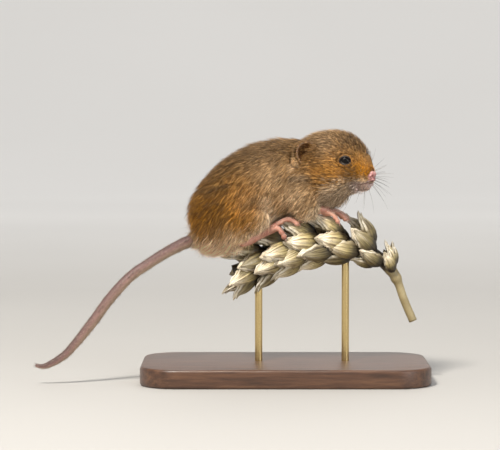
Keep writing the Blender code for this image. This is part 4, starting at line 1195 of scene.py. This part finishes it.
# The margins darken towards the base as painted shade in the seams between husks, and turn pale and papery
# towards the tip.
margin_tone = straw.ramp(on_husk, (0.3, (0.1, 0.075, 0.04)), (0.52, (0.4, 0.33, 0.2)),
                         (0.72, (0.86, 0.8, 0.68)))
husk_colour = straw.mix(straw.math("MULTIPLY", margin_share, 0.75), husk_colour, margin_tone)
edge_band = straw.parts(straw.ramp(at_margin, (0.8, 0.0), (0.88, 1.0), (0.93, 0.0)))[0]
husk_colour = straw.mix(straw.math("MULTIPLY", edge_band, 0.6), husk_colour, (0.13, 0.085, 0.045))
specks = straw.ramp(straw.noise(1500.0, 5.0, 0.65), (0.3, (0.22, 0.18, 0.14)), (0.4, 1.0))
husk_colour = straw.tint(husk_colour, specks, 0.8)
straw.bump(straw.math("ADD", nerves, straw.noise(1.0, 5.0, 0.6, own_streaks)), 0.3, 0.00015)
straw_material = straw.set(Base_Color=husk_colour, Roughness=0.5)


def one_husk(name, stations, steps, sides, shell_from, thickness):
    """A keeled husk along +Z with its outer face to +X: full below, a thin shell with a sharp beak above."""
    bm = bmesh.new()
    shape = np.array(stations)
    loops, facts = [], []
    for i in range(steps + 1):
        share = (i / steps) ** 0.9
        wide = np.interp(share, shape[:, 0], shape[:, 1])
        lift = np.interp(share, shape[:, 0], shape[:, 2])
        shell = float(smoothstep(shell_from, shell_from + 0.35, share))
        loop = []
        for k in range(sides):
            t = 2 * math.pi * k / sides
            face = math.cos(t)
            keel = 1.0 + 0.2 * max(0.0, face) ** 10
            rib = 1.0 + 0.02 * math.cos(11 * t) * math.sin(math.pi * share)
            ragged = 1.0 + 0.13 * shell * math.sin(29 * share + 2.5 * math.sin(t)) * abs(math.sin(t)) ** 3
            y = math.sin(t) * wide * husk_width / 2 * rib * ragged
            x = face * wide * husk_depth / 2 * keel * rib
            if face < 0:
                hollow = -face * wide * husk_depth / 2 - thickness
                x = (1.0 - shell) * 0.55 * x + shell * max(hollow, 0.35 * hollow)
            loop.append(bm.verts.new((x + lift * husk_depth, y, share * husk_length)))
            facts.append((share, k / sides, 0.0))
        loops.append(loop)
    bridge(bm, loops)
    bm.faces.new(loops[0])
    bm.faces.new(loops[-1])
    husk = placed_object(name, bm, straw_material)
    write_attribute(husk.data, "husk_place", "FLOAT_VECTOR", np.array(facts))
    return husk


outer_husk = ((0.0, 0.4, 0.0), (0.1, 0.72, 0.04), (0.22, 0.93, 0.1), (0.4, 1.0, 0.14), (0.56, 0.92, 0.13),
              (0.7, 0.74, 0.1), (0.79, 0.52, 0.07), (0.86, 0.3, 0.06), (0.93, 0.19, 0.1), (1.0, 0.04, 0.19))
scale_reach = 1.08
inner_scale = ((0.3, 0.5, -0.12), (0.5, 0.8, -0.1), (0.7, 0.78, -0.12), (0.84, 0.58, -0.12),
               (0.94, 0.36, -0.1), (1.02, 0.2, -0.04), (scale_reach, 0.03, 0.04))
ear_rows = smooth_rows(ear_line, 160)


def ear_frame(distance):
    """Point, way to the ear's tip, upward normal and normal to the photograph's side, in mm."""
    run = 0.0
    for one, two in zip(ear_rows, ear_rows[1:]):
        step = np.linalg.norm(two - one)
        on = Vector(two - one) / step
        if run + step >= distance:
            break
        run += step
    return Vector(one) + on * (distance - run), on, Vector((on.z, 0, -on.x)), Vector((0, -1, 0))


husk_draw = np.random.default_rng(7)
husk_tilt = np.random.default_rng(12)
seats, turns, sizes = [], [], []
for k in range(spikelet_count):
    root, on, up, near = ear_frame(spikelet_first + k * spikelet_pitch)
    size_here = min(1.0, 0.58 + 0.16 * k) * (1.0 - 0.025 * max(0, k - 7))
    for fan in husk_fan:
        azimuth = math.radians(spikelet_side[k % 2] + fan + husk_draw.uniform(-4, 4))
        from_stem = up * math.cos(azimuth) + near * math.sin(azimuth)
        inner = abs(fan) < 50.0
        middle = fan == 0.0
        lean = math.radians((21.0 if middle else 34.0 if inner else 29.0) + husk_draw.uniform(-2, 2))
        way = on * math.cos(lean) + from_stem * math.sin(lean)
        size = size_here * husk_draw.uniform(0.95, 1.05)
        way = (way + Vector(husk_tilt.normal(0.0, 0.055, 3))).normalized()
        across = way.cross(from_stem).normalized()
        outward = across.cross(way).normalized()
        raised = 2.9 if middle else 1.6 if inner else 0.0
        seats.append(root + from_stem * 1.5 * size_here + on * raised * size_here)
        roll = Matrix.Rotation(husk_tilt.normal(0.0, 0.12), 3, "Z")
        turns.append((Matrix((outward, way.cross(outward), way)).transposed() @ roll).to_euler())
        sizes.append(size)

seat_mesh = bpy.data.meshes.new("husk_seats")
seat_mesh.from_pydata([s * MM for s in seats], [], [])
write_attribute(seat_mesh, "turn", "FLOAT_VECTOR", np.array([tuple(t) for t in turns]))
write_attribute(seat_mesh, "size", "FLOAT", np.array(sizes))
husk_seats = linked_object("husk_seats", seat_mesh)
husk_pattern = one_husk("husk_pattern", outer_husk, steps=26, sides=28, shell_from=0.3, thickness=0.34)
scale_shape = [(share / scale_reach, wide, lift) for share, wide, lift in inner_scale]
scale_pattern = one_husk("scale_pattern", scale_shape, steps=16, sides=20, shell_from=0.0, thickness=0.22)
scale_pattern.data.transform(Matrix.Diagonal((1.0, 1.0, scale_reach, 1.0)))

tree, given, result = node_tree("husks_on_ear", (
    ("Husk", "NodeSocketObject", None), ("Seed", "NodeSocketInt", 3), ("Finish", "NodeSocketMaterial", None)))
info = add_node(tree, "GeometryNodeObjectInfo", {"Object": given.outputs["Husk"]})
turn_read = add_node(tree, "GeometryNodeInputNamedAttribute", {"Name": "turn"}, data_type="FLOAT_VECTOR")
to_turn = add_node(tree, "FunctionNodeEulerToRotation", {0: turn_read.outputs["Attribute"]})
size_read = add_node(tree, "GeometryNodeInputNamedAttribute", {"Name": "size"}, data_type="FLOAT")
put = add_node(tree, "GeometryNodeInstanceOnPoints", {
    "Points": given.outputs["Geometry"], "Instance": info.outputs["Geometry"],
    "Rotation": to_turn.outputs[0], "Scale": size_read.outputs["Attribute"]})
chance = add_node(tree, "FunctionNodeRandomValue", {"Seed": given.outputs["Seed"]}, data_type="FLOAT")
store = add_node(tree, "GeometryNodeStoreNamedAttribute", {
    "Geometry": put.outputs["Instances"], "Name": "husk_lot", "Value": chance.outputs[1]},
    data_type="FLOAT", domain="INSTANCE")
realize = add_node(tree, "GeometryNodeRealizeInstances", {"Geometry": store.outputs["Geometry"]})
finish_tree(tree, given, result, realize.outputs["Geometry"])
for name, pattern, seed in (("wheat_husks", husk_pattern, 3), ("wheat_inner_scales", scale_pattern, 8)):
    husk_mesh = grow_with(husk_seats, tree, {"Husk": pattern, "Seed": seed, "Finish": straw_material})
    bpy.data.objects.remove(pattern)
    husk_mesh.name = name
    husk_mesh.shade_smooth()
    husks = linked_object(name, husk_mesh)
    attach(husks, "root")
    if name == "wheat_husks":
        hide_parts("perch_ear")
bpy.data.objects.remove(husk_seats)

# The stem
# The hollow straw below the ear with its swollen joint, and the stem that runs on inside the ear.
# Both are one round tube along the ear's line, swollen at the joint and painted dark between the husks as the
# shade in the ear's crevices.
stem_run = 60.0
joint_place = 12.2
joint_swelling = 0.42
stem_rings = 120
stem_sides = 24
stem_straw = Shader("stem_straw")
stem_tone = stem_straw.ramp(stem_straw.noise(220.0, 3.0), (0.3, (0.27, 0.21, 0.1)), (0.7, (0.44, 0.36, 0.2)))
lines = stem_straw.math("SINE", stem_straw.math("MULTIPLY", stem_straw.attribute("round"), 2 * math.pi * 18))
# Painted shade: the stem inside the ear is nearly black.
stem_tone = stem_straw.mix(stem_straw.attribute("shade_in_ear"), stem_tone, (0.035, 0.024, 0.012))
stem_tone = stem_straw.tint(stem_tone, stem_straw.ramp(lines, (0.0, (0.7, 0.68, 0.6)), (1.0, 1.1)), 0.4)
stem_straw.bump(lines, 0.25, 0.0001)
stem_material = stem_straw.set(Base_Color=stem_tone, Roughness=0.42)
stem = bmesh.new()
places = np.linspace(0.0, stem_run, stem_rings)
stem_rows = []
for place in places:
    knot = joint_swelling * math.exp(-(place - joint_place) ** 2)
    inside = smoothstep(12.0, 15.0, place)
    stem_rows.append((*ear_frame(place)[0], stem_radius + knot + 0.5 * inside))
limb_tube(stem, stem_rows, stem_rings, stem_sides)
stem_piece = placed_object("wheat_stem", stem, stem_material)
write_attribute(stem_piece.data, "round", "FLOAT", np.tile(np.arange(stem_sides) / stem_sides, stem_rings))
write_attribute(stem_piece.data, "shade_in_ear", "FLOAT", np.repeat(smoothstep(14.5, 17.0, places), stem_sides))
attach(stem_piece, "root")
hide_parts("perch_stem")

# The stand
# A flat base of dark oiled wood with rounded corners and two thin brass rods up into the wheat ear.
# The base is one slab with its rims eased; the rods are straight round bars let into it.
base_size = (76.0, 44.0, 5.0)
corner_radius = 10.0
rim_easing = 0.8
rod_radius = 1.0
wood = Shader("dark_wood")
along_grain = wood.node("ShaderNodeMapping", {"Vector": wood.place(),
                                              "Scale": (22.0, 260.0, 260.0)}).outputs[0]
grain = wood.noise(3.0, 8.0, 0.62, along_grain)
wood_tone = wood.ramp(grain, (0.3, (0.035, 0.016, 0.009)), (0.5, (0.085, 0.038, 0.02)),
                      (0.72, (0.15, 0.072, 0.036)))
wood.bump(wood.math("ADD", grain, wood.noise(14.0, 2.0, 0.5, along_grain)), 0.25, 0.0002)
wood_material = wood.set(Base_Color=wood_tone, Roughness=0.38, Coat_Weight=0.15, Coat_Roughness=0.3)
slab = bmesh.new()
outline = []
reach_x, reach_y = base_size[0] / 2 - corner_radius, base_size[1] / 2 - corner_radius
for turn_index, (sx, sy) in enumerate(((1, 1), (-1, 1), (-1, -1), (1, -1))):
    for step in range(17):
        t = math.radians(90 * turn_index + 90 * step / 16)
        outline.append(slab.verts.new((sx * reach_x + corner_radius * math.cos(t),
                                       sy * reach_y + corner_radius * math.sin(t), 0.0)))
grown = bmesh.ops.extrude_face_region(slab, geom=[slab.faces.new(outline)])["geom"]
upper = [v for v in grown if isinstance(v, bmesh.types.BMVert)]
bmesh.ops.translate(slab, verts=upper, vec=(0, 0, base_size[2]))
rim_edges = [e for e in slab.edges if abs(e.verts[0].co.z - e.verts[1].co.z) < 1e-6]
bmesh.ops.bevel(slab, geom=rim_edges, offset=rim_easing, segments=4, profile=0.5, affect="EDGES")
base = placed_object("display_base", slab, wood_material)
base.data.set_sharp_from_angle(angle=math.radians(35))
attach(base, "root")
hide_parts("stand_base")

brass = Shader("rod_brass")
rubbed = brass.ramp(brass.noise(900.0, 4.0), (0.3, (0.56, 0.42, 0.19)), (0.7, (0.6, 0.46, 0.22)))
brass.bump(brass.noise(2500.0), 0.1, 0.00005)
brass_material = brass.set(Base_Color=rubbed, Roughness=0.22, Metallic=1.0)
for i in (1, 2):
    low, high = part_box(f"stand_rod_{i}")
    rod = bmesh.new()
    middle_x = (low[0] + high[0]) / 2 / MM
    limb_tube(rod, [(middle_x, 0.0, end[2] / MM, rod_radius) for end in (low, high)], 2, 32)
    rod_piece = placed_object(f"brass_rod_{i}", rod, brass_material)
    rod_piece.data.set_sharp_from_angle(angle=math.radians(50))
    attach(rod_piece, "root")
    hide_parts(f"stand_rod_{i}")

# The floor and the light
# A plain pale floor that curves up all round like lit studio paper, and soft lamps from left, right
# and behind.
floor_sides = 64
floor_line = [(0.3, 0.0), (0.6, 0.0), (0.9, 0.0), (1.2, 0.0)]
floor_line += [(1.2 + 0.8 * math.sin(math.radians(a)), 0.8 - 0.8 * math.cos(math.radians(a)))
               for a in range(5, 91, 5)]
floor_points = [(0.0, 0.0, 0.0)]
floor_faces = [(0, 1 + k, 1 + (k + 1) % floor_sides) for k in range(floor_sides)]
for r, (reach, height) in enumerate(floor_line):
    for k in range(floor_sides):
        t = 2 * math.pi * k / floor_sides
        floor_points.append((reach * math.cos(t), reach * math.sin(t), height))
        if r:
            here, beside = 1 + floor_sides * r + k, 1 + floor_sides * r + (k + 1) % floor_sides
            floor_faces.append((here - floor_sides, here, beside, beside - floor_sides))
floor_mesh = bpy.data.meshes.new("floor")
floor_mesh.from_pydata(floor_points, [], floor_faces)
from_centre = np.linalg.norm(np.array(floor_points), axis=1)
write_attribute(floor_mesh, "far", "FLOAT", smoothstep(0.1, 1.1, from_centre))
floor = linked_object("floor", floor_mesh)
pale = Shader("pale_floor")
pale_tone = pale.ramp(pale.noise(3.0), (0.3, (0.4, 0.388, 0.37)), (0.7, (0.43, 0.417, 0.4)))
dress(floor, pale.set(Base_Color=pale_tone, Roughness=0.85, Emission_Color=(1.0, 0.98, 0.95),
                      Emission_Strength=pale.math("MULTIPLY", pale.attribute("far"), 0.42)))


def soft_lamp(name, place, size, power, tint, aim=Vector((0.0, 0.0, 0.05))):
    lamp_data = bpy.data.lights.new(name, "AREA")
    lamp_data.shape = "DISK"
    lamp_data.size = size
    lamp_data.energy = power
    lamp_data.color = tint
    lamp = linked_object(name, lamp_data)
    lamp.location = place
    lamp.rotation_euler = (aim - Vector(place)).to_track_quat("-Z", "Y").to_euler()


soft_lamp("key_lamp", (-0.22, -0.4, 0.62), 0.16, 8.0, (1.0, 0.95, 0.87))
soft_lamp("fill_lamp", (0.6, -0.55, 0.3), 0.6, 2.6, (0.93, 0.96, 1.0))
soft_lamp("rim_lamp", (0.1, 0.6, 0.55), 0.4, 1.0, (1.0, 0.98, 0.95))
soft_lamp("sky_lamp", (0.0, 0.5, 1.5), 1.0, 5.0, (1.0, 0.99, 0.97))
world = bpy.data.worlds.new("studio")
world.use_nodes = True
daylight = world.node_tree.nodes["Background"]
daylight.inputs["Color"].default_value = (0.82, 0.84, 0.86, 1.0)
daylight.inputs["Strength"].default_value = 0.4
bpy.context.scene.world = world
bpy.context.scene.view_settings.view_transform = "Standard"
